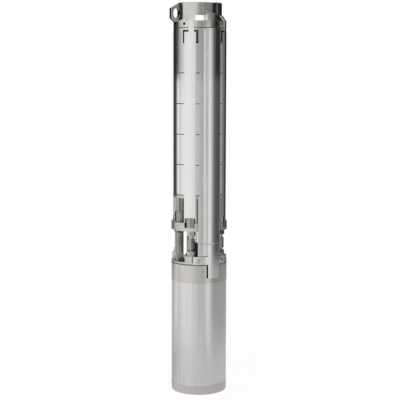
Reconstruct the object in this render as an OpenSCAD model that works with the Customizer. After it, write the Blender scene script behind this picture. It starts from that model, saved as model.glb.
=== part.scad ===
// Multistage borehole pump on a canned submersible motor, standing on its motor foot.
// The axis is +Z, the origin is the centre of the foot, the cable guard faces just off -Y
// and the lifting eye points to -X.

/* [Motor] */
// Outer diameter of the motor at its top band
motor_d = 95; // [93:1:104]
// Height of the motor from its foot to its mounting face
motor_len = 223.5; // [200:0.5:320]
// Height of the end cap's visible rim
end_cap_h = 10; // [8:0.5:14]
// Height of the band round the top housing
band_h = 30.5; // [27:0.5:38]
// Step from the band down to the sleeve
band_step = 0.3; // [0.1:0.1:0.8]
// Wall of the motor sleeve
sleeve_wall = 1.2; // [0.8:0.1:2]
// Width of the stator stack between the can and its bore
stator_w = 19; // [17:0.5:21]
// Number of winding slots
slot_n = 18; // [12:6:24]
// Radial gap between rotor and stator
air_gap = 0.5; // [0.3:0.1:0.8]
// Radius of the motor shaft
motor_shaft_r = 9; // [8:0.25:10]
// Number of tilting thrust shoes
shoe_n = 6; // [3:1:8]

/* [Suction] */
// Thickness of the mounting flange
flange_h = 4.5; // [4:0.5:8]
// Height of the nut seats above the flange
boss_h = 10.5; // [8:0.5:14]
// Height of the inlet windows
window_h = 42.5; // [38:0.5:60]
// Height of the ring that carries the straps
ring_h = 14; // [12:0.5:20]
// Height of the inlet bowl above the ring
bowl_h = 46; // [40:0.5:60]
// Width of each pillar between the windows
pillar_w = 8; // [6:0.5:14]
// Width of the ring and the bowl round the suction passage
suction_wall = 14; // [13:0.5:17]
// Radius of the motor stud circle
motor_stud_pcr = 38.1; // [36.5:0.1:39]
// Radius of the studs
stud_r = 4; // [3:0.25:4.25]
// Width of the hex nuts across their flats
nut_af = 13; // [12:0.5:14]
// Height of the hex nuts
nut_h = 8; // [5:0.5:9]

/* [Stages] */
// Outer diameter of the chambers
pump_d = 88; // [86:0.5:92]
// Number of stages
stage_n = 5; // [2:1:7]
// Height of one stage
stage_pitch = 51; // [49:0.5:60]
// Wall of the chambers
chamber_wall = 1.2; // [0.8:0.1:2]
// Outer radius of the impellers
impeller_r = 34; // [31:0.5:36]
// Width of the impeller passages
passage_h = 7.4; // [5:0.2:8.5]
// Number of vanes in an impeller
impeller_vane_n = 6; // [4:1:7]
// Number of guide vanes in a chamber
guide_vane_n = 7; // [5:1:9]
// Radius of the pump shaft
pump_shaft_r = 8; // [7:0.25:8.5]

/* [Straps and guard] */
// Width of the straps
strap_w = 20.8; // [17:0.2:22]
// Thickness of the straps
strap_t = 1.6; // [1:0.1:2]
// Width of the strap necks
neck_w = 9.5; // [6:0.5:12]
// Sheet thickness of the cable guard
guard_t = 0.8; // [0.6:0.1:1.2]
// Height of the guard's channel above the chambers
guard_rise = 6; // [5:0.25:7]
// Half angle of the guard's lips
guard_lip_a = 22; // [20:0.2:24]
// Half angle of the guard's wing below the stages
guard_wing_a = 27; // [24:0.5:29]
// Half angle of the guard's channel at its root
guard_root_a = 13.5; // [12:0.5:15]

/* [Discharge] */
// Height of the top chamber above the last stage
skirt_h = 23; // [22:0.5:30]
// Height of the head's cylindrical band
head_band_h = 12; // [11:0.5:18]
// Height of the head's cone
cone_h = 9; // [8:0.5:12]
// Outer radius of the outlet collar
collar_r = 37.6; // [36:0.2:39]
// Height of the outlet collar
collar_h = 21.5; // [18:0.5:30]
// Radius of the outlet thread at its crests
thread_r = 28.33; // [25:0.01:29]
// Lift of the check valve
valve_lift = 10; // [8:0.5:10.5]
// Reach of the lifting eye from the collar
eye_reach = 15.9; // [13.4:0.1:20]
// Thickness of the lifting eye
eye_t = 7; // [5:0.5:10]
// Width of the hole in the lifting eye
eye_hole_w = 10.4; // [8:0.2:11]
// Height of the hole in the lifting eye
eye_hole_h = 16; // [12.5:0.5:18]

/* [Hidden] */
$fn = 64;

// Fits shared by mating pieces
fit = 0.05;
seat_gap = 0.02;
run_gap = 0.3;
cut = 1;
socket_gap = 0.2;

// Radii of the pump end
pump_r = pump_d / 2;
suction_r = pump_r - suction_wall;

// Directions round the axis
quarter = 90;
strap_a0 = 45;
guard_a = -84.5;
guard_seat_a = -90;
eye_a = 180;

// Heights of the main joints
z_band = motor_len - band_h;
z_flange = motor_len;
z_boss = z_flange + flange_h + boss_h;
z_ring = z_boss + window_h;
z_bowl = z_ring + ring_h;
z_stage0 = z_bowl + bowl_h;
z_stages_end = z_stage0 + stage_n * stage_pitch;
z_head = z_stages_end + skirt_h;
z_cone = z_head + head_band_h;
z_collar = z_cone + cone_h;
z_top = z_collar + collar_h;

// Motor can and its closures
motor_r = motor_d / 2;
ring_r = motor_r;
sleeve_r = motor_r - band_step;
can_r = sleeve_r - sleeve_wall;
stator_bore_r = can_r - stator_w;
spigot_r = can_r - fit;
cap_floor = 5;
cap_fillet = 2;
cap_spigot_h = 12;
cap_wall = 6;
cap_cavity_r = spigot_r - cap_wall;
diaphragm_t = 1.6;
diaphragm_lip = 4;
diaphragm_lip_h = 2;
diaphragm_dip = 8;
z_thrust = end_cap_h + cap_spigot_h;

// Thrust bearing
thrust_floor_h = 6;
housing_wall = 4;
shoe_h = 5;
shoe_in_r = 14;
shoe_out_r = 30;
shoe_share = 0.8;
thrust_disc_h = 6;
shoe_margin = 1;
thrust_disc_r = shoe_out_r + shoe_margin;
z_shoe = z_thrust + thrust_floor_h;
z_thrust_disc = z_shoe + shoe_h + fit;
web_clear = 12;
web_h = 8;
bush_wall = 4;
bush_len = 14;
hub_wall = 4;
bush_r = motor_shaft_r + bush_wall;
hub_r = bush_r + hub_wall;
z_lower_web = z_thrust_disc + thrust_disc_h + web_clear;
z_lower_hub_end = z_lower_web + bush_len;
flow_hole_r = 4;
flow_hole_n = 6;
flow_hole_pcr = (hub_r + spigot_r - housing_wall) / 2;

// Top housing of the motor
top_plate_h = 12;
top_spigot_h = 10;
seal_len = 6.5;
seal_wall = 5;
seal_depth = 9;
z_top_plate = z_flange - top_plate_h;
z_upper_bush = z_top_plate - bush_len;
z_upper_hub = z_upper_bush - hub_wall / 2;
seal_r = motor_shaft_r + seal_wall;
slinger_h = 4.5;
slinger_lip = 2;

// Stator and rotor fill the space between the two bearing hubs
end_turn_h = 12;
end_turn_gap = 3;
end_turn_over = 1;
end_turn_inset = 1;
slot_depth = 9;
slot_w = 4;
winding_gap = 0.1;
z_stack = z_lower_hub_end + end_turn_gap + end_turn_h;
z_stack_end = z_upper_hub - end_turn_gap - end_turn_h;
slot_in_r = stator_bore_r + slot_w / 2;
rotor_r = stator_bore_r - air_gap;
rotor_over = 4;
cage_ring_h = 5;
cage_ring_wall = 7;

// Shafts and coupling
coupling_r = 14;
coupling_rise = 3.5;
coupling_z0 = z_flange + coupling_rise;
coupling_len = 29;
shaft_meet_gap = 0.5;
z_shaft_meet = coupling_z0 + coupling_len / 2;
spline_h = 1;
spline_r = min(motor_shaft_r, pump_shaft_r) - spline_h;
spline_n = 6;
spline_w = 2.5;
pump_shaft_end = z_stages_end - shaft_meet_gap;

// Suction interconnector
coupling_clear = 6;
flange_bore_r = coupling_r + coupling_clear;
nut_seat_w = 14;
nut_seat_in_r = motor_stud_pcr - nut_seat_w / 2;
nut_seat_a = asin(nut_seat_w / 2 / motor_r);
guard_wall_a = strap_a0 - nut_seat_a;
guard_wall_t = 4;
guard_slit_a = 2.8;
guard_slit_lap_a = 0.4;
joint_h = 1.5;
joint_depth = 2;
pillar_step = 0.4;
pillar_out_r = pump_r - pillar_step;
pillar_inset = 1;
pillar_in_r = suction_r + pillar_inset;
pillar_fillet = 7;
pillar_dish_r = 12;
pillar_dish = 0.6;
washer_h = 1.5;
stud_over = 1.5;
washer_over = 1.5;
washer_r = nut_af / 2 + washer_over;
stud_hole_r = stud_r + run_gap;
stud_floor = 3;
motor_stud_depth = top_plate_h - stud_floor;
motor_stud_end = z_boss + nut_h + stud_over;

// Strap feet and their pockets in the ring
strap_in_r = pump_r + fit;
strap_out_r = strap_in_r + strap_t;
strap_half_a = asin(strap_w / 2 / strap_out_r);
neck_half_a = asin(neck_w / 2 / strap_out_r);
bowl_wall = 2;
foot_in_r = suction_r + bowl_wall;
foot_r = 9;
foot_over = 1.75;
foot_pcr = strap_out_r + foot_over - foot_r;
foot_h = 17;
pocket_depth = 8;
z_foot = z_bowl - pocket_depth;
z_strap = z_foot + foot_h;
strap_lap = 1;
strap_stud_end = motor_stud_end + stud_over;
z_strap_nut = z_ring - nut_h;

// Bowl recesses with the clamp studs
bowl_rim_h = 5;
bowl_rib_a = 2;
bowl_recess_a = strap_a0 - strap_half_a - bowl_rib_a;
bowl_recess_r = suction_r + bowl_wall;
clamp_pcr = (bowl_recess_r + pump_r) / 2;
clamp_stud_depth = 8;
clamp_nut_h = 17;
clamp_edge = 1;
clamp_r = min(stud_r, (pump_r - bowl_recess_r) / 2 - clamp_edge);
clamp_af = 2 * (clamp_pcr - bowl_recess_r - run_gap);

// One stage, measured from its floor
seam_h = 1.2;
seam_depth = 1;
chamber_in_r = pump_r - chamber_wall;
floor_h = 2;
eye_in_r = 16.5;
neck_wall = 2.5;
impeller_neck_r = eye_in_r + neck_wall;
wear_in_r = impeller_neck_r + run_gap;
wear_wall = 2.6;
wear_seat_r = wear_in_r + wear_wall;
wear_flange_r = wear_seat_r + wear_wall;
wear_flange_h = 2;
shroud_h = 1.6;
shroud_gap = 2.4;
impeller_base = run_gap;
z_shroud = floor_h + wear_flange_h + shroud_gap;
z_vane = z_shroud + shroud_h;
z_back = z_vane + passage_h;
z_back_end = z_back + shroud_h;
impeller_vane_t = 1.4;
vane_inset = 0.6;
impeller_vane_arc = 26;
impeller_sweep = 60;
hub_over = 13;
cone_len = 18;
cone_wall_small = 1.4;
cone_wall_large = 2.4;
impeller_hub_wall = 2;
z_hub_end = z_back_end + hub_over;
z_hub = z_hub_end - cone_len;
impeller_hub_r = pump_shaft_r + cone_wall_large + impeller_hub_wall;
cone_nut_h = 5;
cone_nut_wall = 2.75;
cone_nut_af = 2 * (pump_shaft_r + cone_nut_wall);
guide_gap = 1.4;
guide_plate_h = 1.5;
guide_lap = 3;
guide_plate_r = impeller_r + guide_lap;
guide_hole_r = impeller_hub_r + 2 * run_gap;
z_guide = z_back_end + guide_gap;
guide_vane_t = 1.6;
guide_vane_arc = 30;
guide_sweep = 50;
guide_hub_clear = 3;
guide_clear_r = impeller_hub_r + guide_hub_clear;
bearing_wall = 3;
bearing_r = pump_shaft_r + fit + bearing_wall;
bearing_hub_r = bearing_r + bearing_wall;
bearing_len = 12;
bearing_rise = 5;
z_bearing_hub = z_hub_end + bearing_rise;
guide_top_gap = 2.4;

// Slot round each strap head in the top chamber
head_slot_w = 4;
head_slot_h = 22;
head_slot_drop = 3;
strap_head_gap = 3.4;
z_slot_top = z_head - head_slot_drop;
z_strap_head = z_slot_top - strap_head_gap;
slot_half_a = strap_half_a + asin(head_slot_w / strap_out_r);

// Check valve under the outlet
seat_skirt_r = chamber_in_r - fit;
seat_skirt_wall = 4.75;
seat_relief = 3;
seat_web_h = 4;
seat_web_gap = 1;
seat_hole_r = 22;
seat_lip_h = 3;
seat_lip_w = 2;
cup_r = 26;
cup_h = 5;
stem_r = 5;
guide_hub_wall = 3;
z_seat_web = z_stages_end + seat_web_gap;
z_cup = z_seat_web + seat_web_h + seat_lip_h;
z_cup_end = z_cup + cup_h;
cup_head_room = 2;
z_guide_hub = z_cup_end + valve_lift + cup_head_room;
stem_over = 7;
z_stem_end = z_guide_hub + stem_over;
guide_arm_n = 3;
guide_arm_w = 4;
guide_arm_h = 6;
z_guide_arm = z_cone - guide_arm_h;
guide_hub_end = z_stem_end + valve_lift - cut;
guide_ring_wall = 3;
spring_wire_r = 0.7;
spring_turns = 4;
spring_steps = 16;
spring_sides = 8;
spring_r = stem_r + guide_hub_wall + 2 * spring_wire_r + run_gap;
o_ring_r = 1.1;
o_ring_gap = 0.05;

// Discharge head
head_wall = 5;
head_in_r = pump_r - head_wall;
thread_over = 0.5;
thread_len = collar_h + thread_over;
z_thread = z_top - thread_len;
cone_run = pump_r - collar_r;
cone_mouth_r = collar_r - head_wall;
rim_chamfer = 1;
tongue_w = 17;
tongue_over = 3;
lock_hole_r = 1.7;
lock_hole_depth = 2.5;
lock_hole_a = 15.9;
lock_hole_drop = 5;
bar_h = 2;
bar_t = 0.8;
bar_rise = 3;
bar_inset_a = 0.5;
neck_shift_a = 3;

// Lifting eye outline
eye_top_drop = 2.5;
eye_bottom_drop = 1;
eye_shoulder = 3.6;
eye_chamfer_top = 7;
eye_chamfer_bottom = 6;
eye_limb = 4.3;
eye_hole_lift = 4;

// Cable guard
guard_step = 3.5;
guard_out_r = max(pump_r, motor_r - guard_step) + guard_rise;
guard_in_r = guard_out_r - guard_t;
guard_taper_a = 1.5;
guard_crown_a = guard_root_a - guard_taper_a;
guard_lip_r = strap_in_r;
guard_split_rise = 22;
guard_joint = 0.5;
z_guard_split = z_boss + guard_split_rise;
guard_drop = 21.5;
z_guard_foot = z_flange - guard_drop;
guard_pocket_over_a = 1.2;
guard_pocket_a = guard_root_a + guard_pocket_over_a;
guard_pocket_r = guard_lip_r - guard_t;
guard_notch_over_a = 0.8;
guard_foot_t = 0.8;
guard_foot_a = guard_wall_a - guard_slit_lap_a;
guard_screw_edge_a = 10;
guard_screw_a = guard_foot_a - guard_screw_edge_a;
guard_screw_r = 4;
guard_screw_h = 1.8;
guard_shank_r = 2;
guard_screw_len = 5;
guard_lip_lap = 1.4;
guard_wall_lap_a = 0.2;
guard_screw_z = z_flange + (flange_h + boss_h) / 2;

// Motor lead socket and filling plug in the top housing
socket_w = 16;
socket_depth = 9;
socket_lift = 8;
pin_hole_r = 1.6;
pin_hole_depth = 8;
pin_n = 3;
pin_pitch = 4.6;
fill_plug_r = 5;
fill_plug_h = 3;
fill_slot_w = 1.4;
z_fill_plug = (z_band + z_top_plate) / 2 + hub_wall;

// Names of the pieces that repeat, one per stage or per strap
impeller_names = [for (i = [1:stage_n]) str("impeller_", i)];
chamber_names = [for (i = [1:stage_n]) str("chamber_", i)];
strap_n = 4;
strap_names = [for (i = [1:strap_n]) str("strap_", i)];

// Basic forms

module at(z) {
    translate([0, 0, z]) children();
}

module polar(a, r = 0) {
    rotate([0, 0, a]) translate([r, 0, 0]) children();
}

module around(n, a0 = 0) {
    for (i = [0:n - 1]) polar(a0 + i * 360 / n) children();
}

module tube(r_out, r_in, h) {
    difference() {
        cylinder(r = r_out, h = h);
        at(-cut) cylinder(r = r_in, h = h + 2 * cut);
    }
}

module sector(r_in, r_out, half_a, h) {
    rotate([0, 0, -half_a])
        rotate_extrude(angle = 2 * half_a)
            translate([r_in, 0]) square([r_out - r_in, h]);
}

module hex(af, h) {
    sides = 6;
    cylinder(r = af / 2 / cos(180 / sides), h = h, $fn = sides);
}

module hex_nut(af, r, h) {
    difference() {
        hex(af, h);
        at(-cut) cylinder(r = r + seat_gap, h = h + 2 * cut);
    }
}

module spline(h, gap = 0) {
    cylinder(r = spline_r + gap, h = h);
    around(spline_n)
        translate([0, -spline_w / 2 - gap, 0])
            cube([spline_r + spline_h + gap, spline_w + 2 * gap, h]);
}

// Motor

module motor_end_cap() {
    step = 15;
    arc = [for (a = [-quarter:step:0])
        [sleeve_r - cap_fillet + cap_fillet * cos(a), cap_fillet + cap_fillet * sin(a)]];
    lip_r = cap_cavity_r + diaphragm_lip;
    color("rosybrown")
        rotate_extrude()
            polygon(concat(
                [[0, 0]], arc,
                [[sleeve_r, end_cap_h], [spigot_r, end_cap_h], [spigot_r, z_thrust], [lip_r, z_thrust]],
                [[lip_r, z_thrust - diaphragm_lip_h], [cap_cavity_r, z_thrust - diaphragm_lip_h]],
                [[cap_cavity_r, cap_floor], [0, cap_floor]]
            ));
}

module diaphragm() {
    r = cap_cavity_r - fit;
    lip_z = z_thrust - diaphragm_lip_h;
    top = z_thrust - seat_gap;
    half = diaphragm_dip / 2;
    color("dimgray")
        rotate_extrude()
            polygon([
                [0, lip_z - diaphragm_dip], [r - half, lip_z - diaphragm_dip], [r, lip_z - half], [r, lip_z],
                [r + diaphragm_lip, lip_z], [r + diaphragm_lip, top], [r - diaphragm_t, top],
                [r - diaphragm_t, lip_z - half],
                [r - half - diaphragm_t / 2, lip_z - diaphragm_dip + diaphragm_t],
                [0, lip_z - diaphragm_dip + diaphragm_t]
            ]);
}

module thrust_housing() {
    bore = bush_r + seat_gap;
    color("slategray")
        difference() {
            union() {
                at(z_thrust) cylinder(r = spigot_r, h = thrust_floor_h);
                at(z_thrust)
                    tube(spigot_r, spigot_r - housing_wall, z_lower_web + web_h - z_thrust);
                at(z_lower_web) cylinder(r = spigot_r - housing_wall / 2, h = web_h);
                at(z_lower_web) cylinder(r = hub_r, h = bush_len);
            }
            at(z_thrust - cut) cylinder(r = flow_hole_r, h = thrust_floor_h + 2 * cut);
            at(z_lower_web - cut) cylinder(r = bore, h = bush_len + 2 * cut);
            around(flow_hole_n)
                translate([flow_hole_pcr, 0, z_lower_web - cut])
                    cylinder(r = flow_hole_r, h = web_h + 2 * cut);
        }
}

module thrust_shoes() {
    color("darkgoldenrod")
        at(z_shoe)
            around(shoe_n) sector(shoe_in_r, shoe_out_r, 180 / shoe_n * shoe_share, shoe_h);
}

module thrust_disc() {
    color("dimgray")
        at(z_thrust_disc) tube(thrust_disc_r, motor_shaft_r + seat_gap, thrust_disc_h);
}

module bush(z) {
    color("darkslategray")
        at(z) tube(bush_r, motor_shaft_r + fit, bush_len);
}

module motor_sleeve() {
    color("silver")
        at(end_cap_h) tube(sleeve_r, can_r, z_band - end_cap_h);
}

module slot_bars(gap, z0, z1) {
    around(slot_n)
        translate([slot_in_r + gap, -slot_w / 2 + gap, z0])
            cube([slot_depth - 2 * gap, slot_w - 2 * gap, z1 - z0]);
}

module stator_core() {
    color("slategray")
        difference() {
            at(z_stack) tube(can_r - fit, stator_bore_r, z_stack_end - z_stack);
            slot_bars(0, z_stack - cut, z_stack_end + cut);
        }
}

module stator_windings() {
    ring_h = end_turn_h - winding_gap;
    r_in = slot_in_r - end_turn_inset;
    r_out = slot_in_r + slot_depth + end_turn_over;
    color("peru") {
        slot_bars(winding_gap, z_stack - end_turn_h / 2, z_stack_end + end_turn_h / 2);
        at(z_stack - end_turn_h) tube(r_out, r_in, ring_h);
        at(z_stack_end + winding_gap) tube(r_out, r_in, ring_h);
    }
}

module rotor_core() {
    z0 = z_stack - rotor_over;
    z1 = z_stack_end + rotor_over;
    bore = motor_shaft_r + seat_gap;
    cage_r = rotor_r - cage_ring_wall / 4;
    color("gray") {
        at(z0) tube(rotor_r, bore, z1 - z0);
        at(z0 - cage_ring_h) tube(cage_r, rotor_r - cage_ring_wall, cage_ring_h + cut);
        at(z1 - cut) tube(cage_r, rotor_r - cage_ring_wall, cage_ring_h + cut);
    }
}

module motor_shaft() {
    neck_z = coupling_z0 - shaft_meet_gap;
    shoulder_z = z_thrust_disc + thrust_disc_h;
    shoulder = 3;
    color("lightgray") {
        at(z_thrust_disc) cylinder(r = motor_shaft_r, h = neck_z - z_thrust_disc);
        at(shoulder_z) cylinder(r = motor_shaft_r + shoulder, h = shoulder);
        at(neck_z - cut) spline(z_shaft_meet - shaft_meet_gap / 2 - neck_z + cut);
    }
}

module guard_pocket(z0, z1) {
    polar(guard_a)
        at(z0) sector(guard_pocket_r, guard_out_r, guard_pocket_a, z1 - z0);
}

module socket_block(gap, over, h) {
    polar(guard_a)
        translate([guard_pocket_r - socket_depth - gap, -socket_w / 2 - gap, 0])
            cube([socket_depth + gap + over, socket_w + 2 * gap, h]);
}

module motor_top_housing() {
    ring_in_r = spigot_r - housing_wall;
    bore = bush_r + seat_gap;
    color("gainsboro")
        difference() {
            union() {
                at(z_band) tube(motor_r, ring_in_r, band_h);
                at(z_band - top_spigot_h) tube(spigot_r, ring_in_r, top_spigot_h + cut);
                at(z_top_plate) cylinder(r = motor_r - cut, h = top_plate_h);
                at(z_upper_hub) cylinder(r = hub_r, h = z_top_plate - z_upper_hub + cut);
            }
            at(z_upper_hub - cut) cylinder(r = bore, h = z_top_plate - z_upper_hub + cut);
            at(z_top_plate - cut) cylinder(r = motor_shaft_r + run_gap, h = top_plate_h + 2 * cut);
            at(z_flange - seal_depth) cylinder(r = seal_r + seat_gap, h = seal_depth + cut);
            around(strap_n, strap_a0)
                translate([motor_stud_pcr, 0, z_flange - motor_stud_depth])
                    cylinder(r = stud_r + seat_gap, h = motor_stud_depth + cut);
            guard_pocket(z_guard_foot - run_gap, z_flange + cut);
            at(z_flange - socket_lift - seat_gap) socket_block(socket_gap, cut, socket_lift + cut);
            fill_plug_form(seat_gap, cut);
        }
}

module fill_plug_form(gap, over) {
    translate([0, motor_r - fill_plug_h - gap, z_fill_plug])
        rotate([-quarter, 0, 0]) cylinder(r = fill_plug_r + gap, h = fill_plug_h + gap + over);
}

module fill_plug() {
    slot_z = z_fill_plug - fill_slot_w / 2;
    color("silver")
        difference() {
            fill_plug_form(0, -run_gap);
            translate([-fill_plug_r - cut, motor_r - fill_plug_h / 2, slot_z])
                cube([2 * (fill_plug_r + cut), fill_plug_h, fill_slot_w]);
        }
}

module shaft_seal() {
    color("black")
        at(z_flange - seal_depth) tube(seal_r, motor_shaft_r + fit, seal_len);
}

module sand_slinger() {
    z0 = z_flange - seal_depth + seal_len + run_gap;
    r = seal_r - 2 * run_gap;
    bore = motor_shaft_r + seat_gap;
    color("black")
        at(z0)
            rotate_extrude()
                polygon([
                    [bore, 0], [r, 0], [r, slinger_lip], [bore + slinger_lip, slinger_h], [bore, slinger_h]
                ]);
}

module cable_socket() {
    color("black")
        difference() {
            at(z_flange - socket_lift) socket_block(0, 0, socket_lift - fit);
            polar(guard_a)
                for (i = [0:pin_n - 1])
                    translate([
                        guard_pocket_r - socket_depth / 2,
                        (i - (pin_n - 1) / 2) * pin_pitch,
                        z_flange - pin_hole_depth + 2 * cut
                    ])
                        cylinder(r = pin_hole_r, h = pin_hole_depth);
        }
}

module motor_studs() {
    z0 = z_flange - motor_stud_depth;
    color("silver")
        around(strap_n, strap_a0)
            translate([motor_stud_pcr, 0, z0]) cylinder(r = stud_r, h = motor_stud_end - z0);
}

module motor_nuts() {
    color("silver")
        around(strap_n, strap_a0)
            translate([motor_stud_pcr, 0, z_boss]) {
                tube(washer_r, stud_r + seat_gap, washer_h);
                at(washer_h - seat_gap) hex_nut(nut_af, stud_r, nut_h - washer_h);
            }
}

// Suction end

// Round strap foot, trimmed towards the suction passage
module foot_form(z0, z1) {
    difference() {
        translate([foot_pcr, 0, z0]) cylinder(r = foot_r, h = z1 - z0);
        at(z0 - cut) cylinder(r = foot_in_r, h = z1 - z0 + 2 * cut);
    }
}

module foot_pocket(z0, z1) {
    intersection() {
        union() {
            translate([foot_pcr, 0, z0]) cylinder(r = foot_r + run_gap, h = z1 - z0);
            translate([foot_pcr, -foot_r, z0]) cube([motor_r, 2 * foot_r, z1 - z0]);
        }
        at(z0) tube(motor_r + foot_r, foot_in_r - run_gap, z1 - z0);
    }
}

// Pillar with a dished face and curved feet at both ends, sunk into the flange and the ring
module pillar(z0, z1) {
    half = pillar_w / 2;
    spread = half + pillar_fillet;
    foot = z0 - flange_h / 2;
    h = z1 + ring_h / 4 - foot;
    difference() {
        intersection() {
            at(foot) tube(pillar_out_r, pillar_in_r, h);
            translate([0, -spread, foot]) cube([motor_r, 2 * spread, h]);
        }
        for (side = [-1, 1])
            translate([0, side * spread, 0])
                rotate([0, quarter, 0]) {
                    for (z = [z0 + pillar_fillet, z1 - pillar_fillet])
                        translate([-z, 0, 0]) cylinder(r = pillar_fillet, h = motor_r);
                    translate([pillar_fillet - z1, -pillar_fillet, 0])
                        cube([z1 - z0 - 2 * pillar_fillet, 2 * pillar_fillet, motor_r]);
                }
        translate([pillar_out_r + pillar_dish_r - pillar_dish, 0, z0 + pillar_fillet])
            cylinder(r = pillar_dish_r, h = z1 - z0 - 2 * pillar_fillet);
    }
}

// Mounting flange with raised nut seats, low decks between them, a wall under the guard
// and an undercut where it meets the motor
module flange() {
    z_deck = z_flange + flange_h;
    slit_a = guard_wall_a + guard_slit_a / 2 - guard_slit_lap_a;
    wall_in_r = motor_r - guard_wall_t;
    difference() {
        at(z_flange) tube(motor_r, flange_bore_r, flange_h + boss_h);
        at(z_flange - cut) tube(motor_r + cut, motor_r - joint_depth, joint_h + cut);
        at(z_deck) cylinder(r = nut_seat_in_r, h = boss_h + cut);
        for (a = [0, quarter, 2 * quarter])
            polar(a) at(z_deck) sector(flange_bore_r, motor_r + cut, guard_wall_a, boss_h + cut);
        polar(guard_seat_a)
            at(z_deck) sector(flange_bore_r, wall_in_r, guard_wall_a, boss_h + cut);
        for (side = [-1, 1])
            polar(guard_seat_a + side * slit_a)
                at(z_deck) sector(wall_in_r - run_gap, motor_r + cut, guard_slit_a / 2, boss_h + cut);
    }
}

module suction_interconnector() {
    color("lightgray")
        difference() {
            union() {
                flange();
                around(strap_n) pillar(z_flange + flange_h, z_ring);
                at(z_ring) tube(ring_r, suction_r, ring_h);
            }
            around(strap_n, strap_a0) {
                translate([motor_stud_pcr, 0, z_flange - cut])
                    cylinder(r = stud_hole_r, h = flange_h + boss_h + 2 * cut);
                translate([foot_pcr, 0, z_ring - cut]) cylinder(r = stud_hole_r, h = ring_h + 2 * cut);
                foot_pocket(z_foot, z_bowl + cut);
            }
            around(strap_n)
                translate([clamp_pcr, 0, z_bowl - clamp_stud_depth])
                    cylinder(r = clamp_r + seat_gap, h = clamp_stud_depth + cut);
            guard_pocket(z_flange - cut, z_boss + cut);
            for (half = [[guard_a, guard_lip_a], [guard_seat_a, guard_wing_a]])
                polar(half[0])
                    at(z_ring - cut)
                        sector(
                            guard_lip_r - run_gap, ring_r + cut,
                            half[1] + guard_notch_over_a, ring_h + 2 * cut
                        );
            guard_screw_holes();
        }
}

module inlet_bowl() {
    color("lightgray")
        difference() {
            at(z_bowl) tube(pump_r, suction_r, bowl_h);
            around(strap_n)
                at(z_bowl - cut)
                    sector(bowl_recess_r, pump_r + cut, bowl_recess_a, bowl_h - bowl_rim_h + cut);
            around(strap_n, strap_a0) foot_pocket(z_bowl - cut, z_strap + run_gap);
            around(strap_n)
                translate([clamp_pcr, 0, z_bowl])
                    cylinder(r = clamp_r + run_gap, h = bowl_h + cut);
        }
}

module clamp_studs() {
    z0 = z_bowl - clamp_stud_depth;
    color("silver")
        around(strap_n)
            translate([clamp_pcr, 0, z0]) cylinder(r = clamp_r, h = z_stage0 - fit - z0);
}

module clamp_nuts() {
    hex_turn = 30;
    color("silver")
        around(strap_n)
            translate([clamp_pcr, 0, z_bowl])
                rotate([0, 0, hex_turn]) hex_nut(clamp_af, clamp_r, clamp_nut_h);
}

module coupling() {
    color("dimgray")
        at(coupling_z0)
            difference() {
                cylinder(r = coupling_r, h = coupling_len);
                at(-cut) spline(coupling_len + 2 * cut, fit);
            }
}

module pump_shaft() {
    z0 = z_shaft_meet + shaft_meet_gap / 2;
    z1 = coupling_z0 + coupling_len + shaft_meet_gap;
    color("lightgray") {
        at(z0) spline(z1 - z0 + cut);
        at(z1) cylinder(r = pump_shaft_r, h = pump_shaft_end - z1);
    }
}

// Stages

function stage_z(i) = z_stage0 + (i - 1) * stage_pitch;

// Blade along a circular arc, from r_in at angle 0 to r_out at the sweep angle
module arc_blade(r_in, r_out, sweep, arc_r, t, h) {
    start = [r_in, 0];
    end = r_out * [cos(sweep), sin(sweep)];
    chord = norm(end - start);
    normal = [start.y - end.y, end.x - start.x] / chord;
    centre = (start + end) / 2 + normal * sqrt(arc_r * arc_r - chord * chord / 4);
    intersection() {
        translate([centre.x, centre.y, 0]) tube(arc_r + t / 2, arc_r - t / 2, h);
        tube(r_out, r_in, h);
        rotate([0, 0, atan2(centre.y, centre.x)])
            translate([-r_out - cut, -r_out - cut, 0]) cube([2 * (r_out + cut), r_out + cut, h]);
    }
}

// Tapered sleeve form between the shaft and an impeller hub, run past both ends
module cone_form(gap, over) {
    slope = (cone_wall_large - cone_wall_small) / cone_len;
    at(z_hub - over)
        cylinder(
            r1 = pump_shaft_r + cone_wall_large + slope * over + gap,
            r2 = pump_shaft_r + cone_wall_small - slope * over + gap,
            h = cone_len + 2 * over
        );
}

module impeller(i) {
    vane_h = z_back_end - z_shroud;
    color("lightgray")
        at(stage_z(i))
            difference() {
                union() {
                    rotate_extrude()
                        polygon([
                            [eye_in_r, impeller_base], [impeller_neck_r, impeller_base],
                            [impeller_neck_r, z_shroud], [impeller_r, z_shroud],
                            [impeller_r, z_vane], [eye_in_r, z_vane]
                        ]);
                    rotate_extrude()
                        polygon([
                            [0, z_hub], [impeller_hub_r, z_hub], [impeller_hub_r, z_back],
                            [impeller_r, z_back], [impeller_r, z_back_end],
                            [impeller_hub_r, z_back_end], [impeller_hub_r, z_hub_end], [0, z_hub_end]
                        ]);
                    around(impeller_vane_n)
                        at(z_shroud + shroud_h / 2)
                            arc_blade(eye_in_r + vane_inset, impeller_r - vane_inset, impeller_sweep,
                                impeller_vane_arc, impeller_vane_t, vane_h - shroud_h);
                }
                cone_form(seat_gap, cut);
            }
}

module split_cones() {
    cone_slit = 1;
    color("silver")
        for (i = [1:stage_n])
            at(stage_z(i))
                difference() {
                    cone_form(0, 0);
                    at(z_hub - cut) cylinder(r = pump_shaft_r + seat_gap, h = cone_len + 2 * cut);
                    translate([0, -cone_slit / 2, z_hub - cut])
                        cube([impeller_hub_r, cone_slit, cone_len + 2 * cut]);
                }
}

module cone_nuts() {
    color("silver")
        for (i = [1:stage_n])
            at(stage_z(i) + z_hub - cone_nut_h - seat_gap) hex_nut(cone_nut_af, pump_shaft_r, cone_nut_h);
}

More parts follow.
